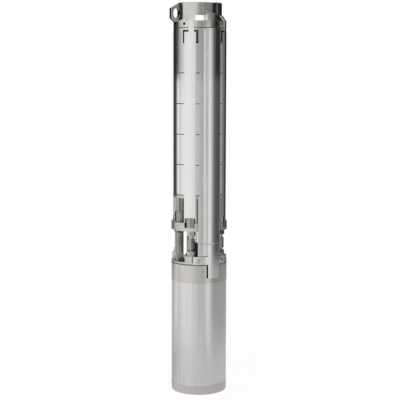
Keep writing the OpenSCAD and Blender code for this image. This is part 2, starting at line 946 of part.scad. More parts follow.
module wear_rings() {
    color("dimgray")
        for (i = [1:stage_n])
            at(stage_z(i)) {
                tube(wear_seat_r - seat_gap, wear_in_r, floor_h + cut);
                at(floor_h + seat_gap) tube(wear_flange_r, wear_in_r, wear_flange_h - seat_gap);
            }
}

module shaft_bearings() {
    color("black")
        for (i = [1:stage_n])
            at(stage_z(i) + z_bearing_hub)
                tube(bearing_r - seat_gap, pump_shaft_r + fit, bearing_len);
}

module guide_vanes() {
    z0 = z_guide + guide_plate_h / 2;
    h = stage_pitch - guide_top_gap - z0;
    difference() {
        around(guide_vane_n)
            at(z0)
                mirror([0, 1, 0])
                    arc_blade(bearing_hub_r - cut, chamber_in_r + chamber_wall / 2, guide_sweep,
                        guide_vane_arc, guide_vane_t, h);
        at(z0 - cut) cylinder(r = guide_clear_r, h = z_bearing_hub - z0);
    }
}

// Slot round a strap head, through the wall of the top chamber
module head_slot() {
    z0 = z_slot_top - head_slot_h;
    difference() {
        at(z0) sector(chamber_in_r - cut, pump_r + cut, slot_half_a, head_slot_h);
        at(z0 - cut)
            sector(chamber_in_r - 2 * cut, pump_r + 2 * cut, strap_half_a, head_slot_h - head_slot_w + cut);
    }
}

module chamber(i) {
    top = i == stage_n ? skirt_h : 0;
    color("silver")
        difference() {
            at(stage_z(i)) {
                rotate_extrude()
                    polygon([
                        [wear_seat_r, 0], [pump_r - seam_depth, 0], [pump_r - seam_depth, seam_h],
                        [pump_r, seam_h], [pump_r, stage_pitch + top], [chamber_in_r, stage_pitch + top],
                        [chamber_in_r, floor_h], [wear_seat_r, floor_h]
                    ]);
                at(z_guide) tube(guide_plate_r, guide_hole_r, guide_plate_h);
                at(z_bearing_hub) tube(bearing_hub_r, bearing_r, bearing_len);
                guide_vanes();
            }
            if (i == stage_n) around(strap_n, strap_a0) head_slot();
        }
}

// Straps that clamp the stages between the interconnector and the head

function strap_angle(i) = 180 + strap_a0 + (i - 1) * quarter;

// Strip that rises from the foot and bends in over the head's cone, cut to a neck above its head
module strap_strip(z0) {
    bend = atan(cone_run / cone_h);
    tip = [strap_in_r - cone_run, z_collar];
    trim_a = (quarter - neck_half_a) / 2;
    outline = [
        [strap_in_r, z0],
        [strap_in_r, z_cone],
        tip,
        tip + strap_t * [cos(bend), sin(bend)],
        [strap_out_r, z_cone + strap_t * tan(bend / 2)],
        [strap_out_r, z0]
    ];
    difference() {
        rotate([0, 0, -strap_half_a])
            rotate_extrude(angle = 2 * strap_half_a) polygon(outline);
        for (side = [-1, 1])
            polar(neck_shift_a + side * (neck_half_a + trim_a))
                at(z_strap_head)
                    sector(strap_in_r - cone_run - cut, strap_out_r + cut, trim_a, z_top - z_strap_head);
    }
}

module strap(i) {
    color("whitesmoke")
        polar(strap_angle(i)) {
            strap_strip(z_strap - strap_lap);
            at(z_head + bar_rise)
                sector(strap_in_r + strap_t / 4, strap_out_r + bar_t, neck_half_a - bar_inset_a, bar_h);
            foot_form(z_foot, z_strap);
            translate([foot_pcr, 0, strap_stud_end])
                cylinder(r = stud_r, h = z_foot + cut - strap_stud_end);
        }
}

module strap_nuts() {
    color("silver")
        around(strap_n, strap_a0)
            translate([foot_pcr, 0, z_strap_nut]) hex_nut(nut_af, stud_r, nut_h);
}

// Check valve

module valve_seat() {
    groove_r = seat_skirt_r - seat_skirt_wall / 2;
    groove_half = o_ring_r + o_ring_gap;
    z1 = z_head - seat_gap;
    color("slategray")
        difference() {
            union() {
                at(z_seat_web) tube(seat_skirt_r, seat_skirt_r - seat_skirt_wall, z1 - z_seat_web);
                at(z_seat_web) tube(seat_skirt_r - cut, seat_hole_r, seat_web_h);
                at(z_seat_web) tube(seat_hole_r + seat_lip_w, seat_hole_r, seat_web_h + seat_lip_h);
            }
            at(z1 - 2 * groove_half)
                tube(groove_r + groove_half, groove_r - groove_half, 2 * groove_half + cut);
            at(z_slot_top - head_slot_h - cut)
                tube(seat_skirt_r + cut, seat_skirt_r - seat_relief, head_slot_h + cut);
        }
}

module seat_o_ring() {
    color("black")
        at(z_head - seat_gap - o_ring_r - o_ring_gap)
            rotate_extrude()
                translate([seat_skirt_r - seat_skirt_wall / 2, 0]) circle(r = o_ring_r);
}

module valve_cup() {
    z0 = z_cup + fit;
    rim_h = cup_h / 2;
    flat_r = spring_r + 2 * spring_wire_r;
    color("dimgray")
        rotate_extrude()
            polygon([
                [0, z0], [cup_r, z0], [cup_r, z0 + rim_h], [flat_r, z_cup_end],
                [stem_r, z_cup_end], [stem_r, z_stem_end], [0, z_stem_end]
            ]);
}

// Round wire swept along a helix between the valve cup and the guide's arms
module valve_spring() {
    z0 = z_cup_end + spring_wire_r + fit;
    z1 = z_guide_arm - spring_wire_r - fit;
    rings = spring_turns * spring_steps;
    points = [for (i = [0:rings], j = [0:spring_sides - 1])
        let (a = 360 * i / spring_steps, b = 360 * j / spring_sides, r = spring_r + spring_wire_r * cos(b))
            [r * cos(a), r * sin(a), z0 + (z1 - z0) * i / rings + spring_wire_r * sin(b)]];
    skin = [for (i = [0:rings - 1], j = [0:spring_sides - 1])
        let (k = (j + 1) % spring_sides, row = i * spring_sides, next = row + spring_sides)
            [row + j, row + k, next + k, next + j]];
    first_cap = [for (j = [spring_sides - 1:-1:0]) j];
    last_cap = [for (j = [0:spring_sides - 1]) rings * spring_sides + j];
    color("silver")
        polyhedron(points, concat(skin, [first_cap, last_cap]));
}

module valve_guide() {
    r_out = head_in_r - fit;
    r_in = r_out - guide_ring_wall;
    hub = stem_r + guide_hub_wall;
    color("slategray")
        difference() {
            union() {
                at(z_head) tube(r_out, r_in, head_band_h - fit);
                at(z_guide_hub) cylinder(r = hub, h = guide_hub_end - z_guide_hub);
                around(guide_arm_n)
                    translate([0, -guide_arm_w / 2, z_guide_arm])
                        cube([r_in + guide_ring_wall / 2, guide_arm_w, guide_arm_h - fit]);
            }
            at(z_guide_hub - cut) cylinder(r = stem_r + fit, h = guide_hub_end - z_guide_hub + 2 * cut);
        }
}

// Discharge head

module head_outside(gap) {
    rotate_extrude()
        polygon([
            [0, z_head], [pump_r + gap, z_head], [pump_r + gap, z_cone],
            [collar_r + gap, z_collar], [collar_r + gap, z_top - rim_chamfer],
            [collar_r - rim_chamfer + gap, z_top], [0, z_top]
        ]);
}

module head_inside() {
    rotate_extrude()
        polygon([
            [0, z_head - cut], [head_in_r, z_head - cut], [head_in_r, z_cone], [cone_mouth_r, z_thread],
            [thread_r, z_thread], [thread_r, z_top - rim_chamfer],
            [thread_r + rim_chamfer + cut, z_top + cut], [0, z_top + cut]
        ]);
}

module discharge_head() {
    tongue_top = z_collar + tongue_over;
    hole_a = strap_angle(1) - lock_hole_a;
    color("lightgray")
        difference() {
            union() {
                head_outside(0);
                polar(guard_a)
                    intersection() {
                        translate([0, -tongue_w / 2, z_head]) cube([pump_r, tongue_w, tongue_top - z_head]);
                        at(z_head) cylinder(r = pump_r, h = tongue_top - z_head);
                    }
            }
            head_inside();
            at(z_head - cut) tube(pump_r + cut, pump_r - seam_depth, seam_h + cut);
            polar(hole_a)
                translate([pump_r - lock_hole_depth, 0, z_cone - lock_hole_drop])
                    rotate([0, quarter, 0]) cylinder(r = lock_hole_r, h = lock_hole_depth + cut);
        }
}

module lifting_eye() {
    z1 = z_top - eye_top_drop;
    z0 = z_cone - eye_bottom_drop;
    root = collar_r - cut;
    hole_r = eye_hole_w / 2;
    tip = collar_r + eye_reach;
    hole_x = tip - eye_limb - hole_r;
    hole_rise = eye_hole_h / 2 - hole_r;
    outline = [
        [root, z0], [tip - eye_chamfer_bottom, z0], [tip, z0 + eye_chamfer_bottom],
        [tip, z1 - eye_chamfer_top], [collar_r + eye_shoulder, z1], [root, z1]
    ];
    color("lightgray")
        polar(eye_a)
            difference() {
                rotate([quarter, 0, 0])
                    linear_extrude(height = eye_t, center = true) polygon(outline);
                head_outside(seat_gap);
                for (rise = [-hole_rise, hole_rise])
                    translate([hole_x, eye_t, z_collar + eye_hole_lift + rise])
                        rotate([quarter, 0, 0]) cylinder(r = hole_r, h = 2 * eye_t);
                translate([hole_x - hole_r, -eye_t, z_collar + eye_hole_lift - hole_rise])
                    cube([2 * hole_r, 2 * eye_t, 2 * hole_rise]);
            }
}

// Cable guard

module guard_channel(z0, z1, root_r) {
    h = z1 - z0;
    wall_a = atan(guard_t / guard_lip_r);
    low_r = root_r + guard_t / 2;
    high_r = guard_out_r - guard_t / 2;
    top_a = guard_crown_a - guard_wall_lap_a;
    at(z0) sector(guard_in_r, guard_out_r, guard_crown_a, h);
    for (side = [-1, 1])
        at(z0)
            linear_extrude(height = h)
                polygon([
                    low_r * [cos(guard_root_a), side * sin(guard_root_a)],
                    high_r * [cos(top_a), side * sin(top_a)],
                    high_r * [cos(top_a - wall_a), side * sin(top_a - wall_a)],
                    low_r * [cos(guard_root_a - wall_a), side * sin(guard_root_a - wall_a)]
                ]);
}

// Lips beside the channel: the one that faces the seat's middle widens to a wing below the stages
module guard_lips(z0, z1) {
    a0 = guard_root_a - guard_lip_lap;
    wing_a = guard_a - guard_seat_a + guard_wing_a;
    r_out = guard_lip_r + guard_t;
    polar((a0 + guard_lip_a) / 2)
        at(z0) sector(guard_lip_r, r_out, (guard_lip_a - a0) / 2, z1 - z0);
    difference() {
        polar(-(a0 + wing_a) / 2)
            at(z0) sector(guard_lip_r, r_out, (wing_a - a0) / 2, z1 - z0);
        polar(-guard_lip_a - wing_a / 2)
            at(z_stage0) sector(guard_lip_r - cut, r_out + cut, wing_a / 2, z_head - z_stage0);
    }
}

module cable_guard() {
    z1 = z_head - fit;
    color("gainsboro")
        polar(guard_a) {
            guard_channel(z_guard_split, z1, guard_lip_r);
            guard_lips(z_guard_split, z1);
        }
}

module guard_screw_holes() {
    for (side = [-1, 1])
        polar(guard_seat_a + side * guard_screw_a)
            translate([motor_r - guard_screw_len, 0, guard_screw_z])
                rotate([0, quarter, 0])
                    cylinder(r = guard_shank_r + seat_gap, h = guard_screw_len + guard_rise);
}

// Foot tabs from the channel's sides to the ends of the wall that they are screwed to
module guard_feet(z0, z1) {
    foot_in_r = motor_r + seat_gap;
    for (side = [-1, 1]) {
        a0 = guard_a + side * guard_crown_a;
        a1 = guard_seat_a + side * guard_foot_a;
        polar((a0 + a1) / 2)
            at(z0) sector(foot_in_r, foot_in_r + guard_foot_t, side * (a1 - a0) / 2, z1 - z0);
    }
}

module lower_guard() {
    z1 = z_guard_split - guard_joint;
    lip_z = z_boss + run_gap;
    color("gainsboro")
        difference() {
            union() {
                polar(guard_a) {
                    guard_channel(z_guard_foot, z1, min(guard_lip_r, motor_r + seat_gap));
                    guard_lips(lip_z, z1);
                }
                guard_feet(z_flange + joint_h, z_boss);
            }
            guard_screw_holes();
        }
}

module guard_screws() {
    seat = motor_r + guard_foot_t + fit;
    color("silver")
        for (side = [-1, 1])
            polar(guard_seat_a + side * guard_screw_a)
                translate([seat, 0, guard_screw_z])
                    rotate([0, quarter, 0]) {
                        cylinder(
                            r1 = guard_screw_r,
                            r2 = (guard_screw_r + guard_shank_r) / 2,
                            h = guard_screw_h
                        );
                        at(cut - guard_screw_len) cylinder(r = guard_shank_r, h = guard_screw_len);
                    }
}

motor_end_cap();
diaphragm();
thrust_housing();
thrust_shoes();
thrust_disc();
bush(z_lower_web);  // lower_bush
motor_sleeve();
stator_core();
stator_windings();
rotor_core();
motor_shaft();
motor_top_housing();
bush(z_upper_bush);  // upper_bush
shaft_seal();
sand_slinger();
cable_socket();
fill_plug();
motor_studs();
motor_nuts();
suction_interconnector();
inlet_bowl();
clamp_studs();
clamp_nuts();
coupling();
pump_shaft();
split_cones();
cone_nuts();
wear_rings();
shaft_bearings();
strap_nuts();
valve_seat();
seat_o_ring();
valve_cup();
valve_spring();
valve_guide();
discharge_head();
lifting_eye();
cable_guard();
lower_guard();
guard_screws();
for (i = [1:stage_n]) {
    impeller(i);
    chamber(i);
}
for (i = [1:strap_n]) {
    strap(i);
}
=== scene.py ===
"""Looks of a borehole submersible pump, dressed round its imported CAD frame."""

import logging
import math
from dataclasses import dataclass, field
from enum import Enum

import bmesh
import bpy
from mathutils import Matrix, Vector


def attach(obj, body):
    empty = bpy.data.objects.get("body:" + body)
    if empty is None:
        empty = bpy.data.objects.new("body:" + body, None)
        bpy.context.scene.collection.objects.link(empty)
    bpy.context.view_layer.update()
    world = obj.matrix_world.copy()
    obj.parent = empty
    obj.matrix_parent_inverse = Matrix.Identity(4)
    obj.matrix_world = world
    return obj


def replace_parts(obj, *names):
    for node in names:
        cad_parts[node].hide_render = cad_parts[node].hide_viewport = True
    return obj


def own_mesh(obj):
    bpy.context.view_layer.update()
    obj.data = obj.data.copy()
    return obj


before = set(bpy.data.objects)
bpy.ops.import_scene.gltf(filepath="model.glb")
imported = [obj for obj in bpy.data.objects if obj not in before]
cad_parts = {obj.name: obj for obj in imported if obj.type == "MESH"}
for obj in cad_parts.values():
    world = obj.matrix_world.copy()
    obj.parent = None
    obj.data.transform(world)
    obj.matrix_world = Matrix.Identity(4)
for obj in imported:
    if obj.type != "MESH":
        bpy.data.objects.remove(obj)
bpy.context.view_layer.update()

LOG = logging.getLogger("pump")
# One millimetre, the unit of the pump's sizes, in Blender's metres
MM = 0.001
# The body that carries every piece made here
CASING = "casing"
# Colour sockets of a mix node, whose names its other sockets share
MIX_A, MIX_B, MIX_RESULT = 6, 7, 2
Key = str | int
Pair = tuple[float, float]
Triple = tuple[float, float, float]


class Grain(Enum):
    """Which way fine lines run, as the stretch of the noise along x, y and z."""

    TURNED = (0.04, 0.04, 1.0)
    DRAWN = (1.0, 1.0, 0.02)
    CAST = (1.0, 1.0, 1.0)


class Ray(Enum):
    """Kinds of ray that each see their own share of the white stage."""

    CAMERA = "Is Camera Ray"
    GLOSSY = "Is Glossy Ray"
    THROUGH = "Is Transmission Ray"


@dataclass(frozen=True)
class Reach:
    """How far a CAD node reaches at rest, in millimetres."""

    low: float
    high: float
    inner: float
    outer: float

    @classmethod
    def of(cls, node: str) -> "Reach":
        """Measures a node's heights and its distances from the axis.

        Args:
            node: The node's name.

        Returns:
            The node's reach.
        """
        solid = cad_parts[node]
        places = [solid.matrix_world @ vertex.co / MM for vertex in solid.data.vertices]
        heights = [place.z for place in places]
        radii = [place.xy.length for place in places]
        return cls(min(heights), max(heights), min(radii), max(radii))

    @property
    def middle(self) -> float:
        """Returns the radius halfway between the inner and the outer one."""
        return (self.inner + self.outer) / 2

    @property
    def half(self) -> float:
        """Returns half of the width between the inner and the outer radius."""
        return (self.outer - self.inner) / 2


@dataclass
class Tree:
    """A tree of shader nodes, with short ways to add and to join them."""

    tree: bpy.types.NodeTree

    def named(self, name: str) -> bpy.types.Node:
        """Returns the node of that name."""
        return self.tree.nodes[name]

    def node(self, kind: str, inputs: dict[Key, object] | None = None, **values: object) -> bpy.types.Node:
        """Adds a node.

        Args:
            kind: The node's type without its ShaderNode prefix.
            inputs: Values of its inputs, by name or by place.
            values: Its properties by name.

        Returns:
            The new node.
        """
        made = self.tree.nodes.new(f"ShaderNode{kind}")
        for key, value in values.items():
            setattr(made, key, value)
        for key, value in (inputs or {}).items():
            made.inputs[key].default_value = value
        return made

    def link(self, source: bpy.types.Node, out: Key, target: bpy.types.Node, into: Key) -> None:
        """Joins an output of one node to an input of another."""
        self.tree.links.new(source.outputs[out], target.inputs[into])


@dataclass
class NodeGroup(Tree):
    """A shader node group with named sockets, built once and shared by the finishes."""

    entry: bpy.types.Node
    result: bpy.types.Node

    @classmethod
    def new(cls, name: str, inputs: dict[str, str], outputs: dict[str, str]) -> "NodeGroup":
        """Starts a group.

        Args:
            name: The group's name.
            inputs: Kinds of its inputs by name.
            outputs: Kinds of its outputs by name.

        Returns:
            The group with its sockets and its input and output nodes.
        """
        tree = bpy.data.node_groups.new(name, "ShaderNodeTree")
        entry = tree.nodes.new("NodeGroupInput")
        result = tree.nodes.new("NodeGroupOutput")
        for way, sockets in (("INPUT", inputs), ("OUTPUT", outputs)):
            for socket, kind in sockets.items():
                tree.interface.new_socket(socket, in_out=way, socket_type=f"NodeSocket{kind}")
        return cls(tree, entry, result)

    def place(self, tree: Tree, values: dict[Key, object]) -> bpy.types.Node:
        """Places the group in a material's tree with its own values."""
        return tree.node("Group", values, node_tree=self.tree)


def new_material(name: str) -> tuple[bpy.types.Material, Tree]:
    """Makes a material with nodes.

    Args:
        name: The material's name.

    Returns:
        The material and its tree.
    """
    made = bpy.data.materials.new(name)
    made.use_nodes = True
    return made, Tree(made.node_tree)


def new_glow(name: str) -> tuple[bpy.types.Material, Tree, bpy.types.Node]:
    """Makes a material that only glows.

    Args:
        name: The material's name.

    Returns:
        The material, its tree and its emission node.
    """
    made, tree = new_material(name)
    made.node_tree.nodes.remove(tree.named("Principled BSDF"))
    glow = tree.node("Emission")
    tree.link(glow, 0, tree.named("Material Output"), "Surface")
    return made, tree, glow


def grain_group() -> NodeGroup:
    """Builds the fine lines or grains of a worked surface.

    Returns:
        A group from Vector, Stretch and Scale to Tone.
    """
    inputs = {"Vector": "Vector", "Stretch": "Vector", "Scale": "Float"}
    group = NodeGroup.new("fine_grain", inputs, {"Tone": "Float"})
    stretch = group.node("VectorMath", operation="MULTIPLY")
    noise = group.node("TexNoise", {"Detail": 3.0, "Roughness": 0.62}, noise_dimensions="3D")
    spread = group.node("MapRange", {"From Min": 0.3, "From Max": 0.7}, clamp=True)
    group.link(group.entry, "Vector", stretch, 0)
    group.link(group.entry, "Stretch", stretch, 1)
    group.link(stretch, "Vector", noise, "Vector")
    group.link(group.entry, "Scale", noise, "Scale")
    group.link(noise, "Fac", spread, "Value")
    group.link(spread, "Result", group.result, "Tone")
    return group


def marks_group() -> NodeGroup:
    """Builds the faint clouds that handling and drying water leave.

    Returns:
        A group from Vector, Scale and Amount to Mask.
    """
    inputs = {"Vector": "Vector", "Scale": "Float", "Amount": "Float"}
    group = NodeGroup.new("handling_marks", inputs, {"Mask": "Float"})
    noise = group.node("TexNoise", {"Detail": 5.0, "Distortion": 0.8}, noise_dimensions="3D")
    limits = {"From Min": 0.42, "From Max": 0.72}
    cut = group.node("MapRange", limits, clamp=True, interpolation_type="SMOOTHSTEP")
    scale = group.node("Math", operation="MULTIPLY")
    group.link(group.entry, "Vector", noise, "Vector")
    group.link(group.entry, "Scale", noise, "Scale")
    group.link(noise, "Fac", cut, "Value")
    group.link(cut, "Result", scale, 0)
    group.link(group.entry, "Amount", scale, 1)
    group.link(scale, "Value", group.result, "Mask")
    return group


def edge_wear_and_highlight_group() -> NodeGroup:
    """Builds the rounding of sharp edges and a mask along them that lightens their colour, partly as wear
    and partly as a painted highlight.

    Returns:
        A group from Radius and Amount to Mask and Normal.
    """
    inputs = {"Radius": "Float", "Amount": "Float"}
    group = NodeGroup.new("edge_wear_and_highlight", inputs, {"Mask": "Float", "Normal": "Vector"})
    rounding = group.node("Bevel", samples=4)
    flat = group.node("NewGeometry")
    dot = group.node("VectorMath", operation="DOT_PRODUCT")
    turn = group.node("MapRange", {"From Min": 0.995, "From Max": 0.8}, clamp=True)
    scale = group.node("Math", operation="MULTIPLY")
    group.link(group.entry, "Radius", rounding, "Radius")
    group.link(rounding, "Normal", dot, 0)
    group.link(flat, "Normal", dot, 1)
    group.link(dot, "Value", turn, "Value")
    group.link(turn, "Result", scale, 0)
    group.link(group.entry, "Amount", scale, 1)
    group.link(scale, "Value", group.result, "Mask")
    group.link(rounding, "Normal", group.result, "Normal")
    return group


GRAIN = grain_group()
MARKS = marks_group()
EDGE_WEAR_AND_HIGHLIGHT = edge_wear_and_highlight_group()


@dataclass(frozen=True)
class Finish:
    """One finish: its colours, its gloss, its grain, and the wear and painted highlight along its edges.
    """

    slot: str
    colour: Triple
    stain: Triple
    metallic: float = 1.0
    roughness: float = 0.2
    roughness_spread: float = 0.05
    smoothest: float = 0.02
    grain: Grain = Grain.TURNED
    grain_scale: float = 900.0
    grain_depth: float = 0.004
    marks_scale: float = 30.0
    marks_stretch: Triple = (1.0, 1.0, 1.0)
    marks: float = 0.35
    # Lightening of the edges' colour, partly wear and partly a painted highlight
    wear_and_highlight: float = 0.3
    wear_and_highlight_colour: Triple = (0.9, 0.9, 0.88)
    edge_radius: float = 0.35
    named: bool = True

    def material(self) -> bpy.types.Material:
        """Makes the finish's material, or finds it if it was made before.

        Returns:
            The material.
        """
        found = bpy.data.materials.get(f"{self.slot}_finish")
        if found:
            return found
        made, tree = new_material(f"{self.slot}_finish")
        shader = tree.named("Principled BSDF")
        shader.inputs["Metallic"].default_value = self.metallic
        place = tree.node("TexCoord")
        grain = GRAIN.place(tree, {"Stretch": self.grain.value, "Scale": self.grain_scale})
        marks = MARKS.place(tree, {"Scale": self.marks_scale, "Amount": self.marks})
        edges = EDGE_WEAR_AND_HIGHLIGHT.place(tree, {"Radius": self.edge_radius * MM, "Amount": self.wear_and_highlight})
        drawn = tree.node("VectorMath", {1: self.marks_stretch}, operation="MULTIPLY")
        tree.link(place, "Object", grain, "Vector")
        tree.link(place, "Object", drawn, 0)
        tree.link(drawn, "Vector", marks, "Vector")
        stained = self.mixed(tree, self.colour, self.stain)
        tree.link(marks, "Mask", stained, "Factor")
        # Edges are lightened towards a brighter colour: wear, and a painted highlight
        worn_and_lit = self.mixed(tree, self.colour, self.wear_and_highlight_colour)
        tree.link(edges, "Mask", worn_and_lit, "Factor")
        tree.link(stained, MIX_RESULT, worn_and_lit, MIX_A)
        tree.link(worn_and_lit, MIX_RESULT, shader, "Base Color")
        gloss = tree.node("MapRange", {
            "To Min": max(self.roughness - self.roughness_spread, self.smoothest),
            "To Max": self.roughness + self.roughness_spread,
        })
        tree.link(grain, "Tone", gloss, "Value")
        dulled = tree.node("Math", {1: self.roughness_spread}, operation="MULTIPLY_ADD")
        tree.link(marks, "Mask", dulled, 0)
        tree.link(gloss, "Result", dulled, 2)
        tree.link(dulled, "Value", shader, "Roughness")
        bump = tree.node("Bump", {"Distance": self.grain_depth * MM})
        tree.link(grain, "Tone", bump, "Height")
        tree.link(edges, "Normal", bump, "Normal")
        tree.link(bump, "Normal", shader, "Normal")
        return made

    @staticmethod
    def mixed(tree: Tree, base: Triple, over: Triple) -> bpy.types.Node:
        """Adds a colour mix from base to over."""
        return tree.node("Mix", {MIX_A: (*base, 1.0), MIX_B: (*over, 1.0)}, data_type="RGBA")

    def dress(self, *nodes: str) -> None:
        """Puts the finish on CAD nodes.

        Args:
            nodes: The nodes' names.
        """
        for name in nodes:
            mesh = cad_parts[name].data
            mesh.materials.clear()
            mesh.materials.append(self.material())
            LOG.info("%s in %s", name, self.slot)


STEEL = (0.80, 0.795, 0.78)
STEEL_STAIN = (0.70, 0.69, 0.665)

CAN = Finish("can_steel", (0.755, 0.755, 0.75), (0.65, 0.65, 0.645), roughness_spread=0.03,
             grain=Grain.DRAWN, grain_scale=700, grain_depth=0.003, marks=0.6, marks_scale=110,
             marks_stretch=(1.0, 1.0, 0.05))
CAP = Finish("cap_steel", (0.66, 0.63, 0.62), (0.58, 0.54, 0.53), roughness=0.32,
             grain_scale=1200, grain_depth=0.006)
BAND = Finish("band_steel", (0.65, 0.63, 0.60), (0.62, 0.60, 0.56), grain_scale=1500,
              grain_depth=0.003)
SHEET = Finish("sheet_steel", STEEL, STEEL_STAIN, roughness=0.1, roughness_spread=0.03,
               grain_scale=1100, grain_depth=0.0015, marks=0.2)
STRAP = Finish("strap_steel", (0.82, 0.815, 0.80), STEEL_STAIN, roughness=0.1,
               roughness_spread=0.03, grain=Grain.DRAWN, grain_scale=1400, grain_depth=0.001,
               marks=0.2, wear_and_highlight=0.15)
# Its edges are lightened strongly, which paints the highlight along the lip's edge
GUARD = Finish("guard_steel", (0.81, 0.81, 0.80), STEEL_STAIN, roughness=0.09,
               roughness_spread=0.02, grain=Grain.DRAWN, grain_scale=1400, grain_depth=0.001,
               marks=0.2, wear_and_highlight=0.7, wear_and_highlight_colour=(0.97, 0.97, 0.96), edge_radius=0.5)
CAST = Finish("cast_steel", (0.62, 0.61, 0.585), (0.50, 0.485, 0.455), roughness=0.32,
              roughness_spread=0.03, grain=Grain.CAST, grain_scale=650, grain_depth=0.001,
              marks=0.4, edge_radius=0.6)
# A darker copy of the steel, which paints the shade on the strap feet, the lock nuts and the clamp nuts
SHADED_STEEL = Finish("steel_painted_shade", (0.40, 0.39, 0.37), (0.28, 0.27, 0.25), roughness=0.1,
              roughness_spread=0.03, grain_scale=1200, grain_depth=0.001, wear_and_highlight=0.15, named=False)
HEAD = Finish("head_steel", (0.74, 0.74, 0.70), (0.62, 0.62, 0.57), roughness=0.1,
              roughness_spread=0.03, grain_scale=1000, grain_depth=0.0015, edge_radius=0.5)
FASTENER = Finish("fastener_steel", (0.62, 0.61, 0.585), (0.44, 0.42, 0.38), roughness=0.09,
                  grain_scale=1600, grain_depth=0.001)
# Near-black weld, whose colour paints the shade where the eye meets the collar
WELD_SHADE = Finish("weld_painted_shade", (0.012, 0.012, 0.012), (0.03, 0.027, 0.024), metallic=0.0,
              roughness=0.6, grain=Grain.CAST, grain_depth=0.03, wear_and_highlight=0.05, wear_and_highlight_colour=(0.1, 0.1, 0.1),
              named=False)
# Near-black, which paints the shade inside the flange's bowl
COUPLING_SHADE = Finish("coupling_steel", (0.025, 0.025, 0.025), (0.015, 0.015, 0.015),
                  roughness=0.35, grain_scale=1600, wear_and_highlight_colour=(0.3, 0.3, 0.3))
SHAFT = Finish("shaft_steel", (0.78, 0.77, 0.75), (0.66, 0.65, 0.62), roughness=0.12,
               grain_scale=2000, grain_depth=0.002)
IMPELLER = Finish("impeller_steel", STEEL, STEEL_STAIN, roughness=0.25, grain=Grain.CAST)
INNER = Finish("inner_casting", (0.16, 0.16, 0.155), (0.10, 0.10, 0.095), roughness=0.5,
               grain=Grain.CAST, grain_scale=500, grain_depth=0.05)
LAMINATION = Finish("lamination_steel", (0.40, 0.41, 0.43), (0.30, 0.30, 0.32), roughness=0.45,
                    grain_scale=2500, grain_depth=0.02)
COPPER = Finish("winding_copper", (0.72, 0.36, 0.20), (0.50, 0.22, 0.12), roughness=0.35,
                grain=Grain.DRAWN, grain_scale=1500, grain_depth=0.03)
CARBON = Finish("bearing_carbon", (0.05, 0.05, 0.055), (0.09, 0.09, 0.09), metallic=0.0,
                roughness=0.5, grain_scale=1200, wear_and_highlight=0.1, wear_and_highlight_colour=(0.2, 0.2, 0.2))
RUBBER = Finish("rubber", (0.025, 0.025, 0.027), (0.06, 0.06, 0.06), metallic=0.0,
                roughness=0.6, grain=Grain.CAST, grain_scale=800, grain_depth=0.02, wear_and_highlight=0.1,
                wear_and_highlight_colour=(0.12, 0.12, 0.12))
PLASTIC = Finish("socket_plastic", (0.04, 0.042, 0.045), (0.08, 0.08, 0.08), metallic=0.0,
                 roughness=0.45, grain=Grain.CAST, grain_scale=700, grain_depth=0.02, wear_and_highlight=0.2,
                 wear_and_highlight_colour=(0.2, 0.2, 0.2))
SPRING = Finish("spring_steel", (0.66, 0.65, 0.63), (0.5, 0.48, 0.45), grain_scale=1500)

STRAP_ANGLES = (45.0, 135.0, 225.0, 315.0)
PILLAR_ANGLES = (0.0, 90.0, 180.0, 270.0)
# Radius of the points of a lathed outline that lie on the axis
AXIS = 0.01
# Start and end of a ridge's top and the end of its foot, as shares of the pitch
ROLLED_RIDGE = (0.42, 0.55, 0.97)
CUT_RIDGE = (0.38, 0.52, 0.9)


def turned(section: list[Pair], turn: float, rise: float = 0.0) -> list[Vector]:
    """Stands a section at an angle round the axis.

    Args:
        section: Pairs of radius and height.
        turn: Angle in radians.
        rise: Height to add.

    Returns:
        The section's points.
    """
    return [Vector((r * math.cos(turn), r * math.sin(turn), z + rise)) for r, z in section]


def oblong(radii: Pair, heights: Pair) -> list[Pair]:
    """Draws a rectangular section from its radii and heights."""
    (inner, outer), (low, high) = radii, heights
    return [(inner, low), (outer, low), (outer, high), (inner, high)]


def oval(centre: Pair, half: Pair, steps: int) -> list[Pair]:
    """Draws an oval section.

    Args:
        centre: Radius and height of its middle.
        half: Its half width and half height.
        steps: Number of points.

    Returns:
        Pairs of radius and height.
    """
    angles = [math.tau * step / steps for step in range(steps)]
    return [(centre[0] + half[0] * math.cos(a), centre[1] + half[1] * math.sin(a)) for a in angles]


def ridge(root: float, crest: float, pitch: float, shares: Triple) -> list[Pair]:
    """Draws the section of a thread's ridge.

    Args:
        root: Radius of its foot.
        crest: Radius of its top.
        pitch: Pitch of the thread.
        shares: Start and end of its top and the end of its foot, as shares of the pitch.

    Returns:
        Pairs of radius and height.
    """
    top_start, top_end, foot_end = (pitch * share for share in shares)
    return [(root, 0.0), (crest, top_start), (crest, top_end), (root, foot_end)]


def about_axis(angle: float) -> Matrix:
    """Returns a turn about the axis by an angle in degrees."""
    return Matrix.Rotation(math.radians(angle), 4, "Z")


def facing_out(angle: float, radius: float, height: float) -> Matrix:
    """Returns the place of a shape that stands out from the axis, with its own axis level."""
    place = Matrix.Translation((radius, 0, height)) @ Matrix.Rotation(math.radians(90), 4, "Y")
    return about_axis(angle) @ place


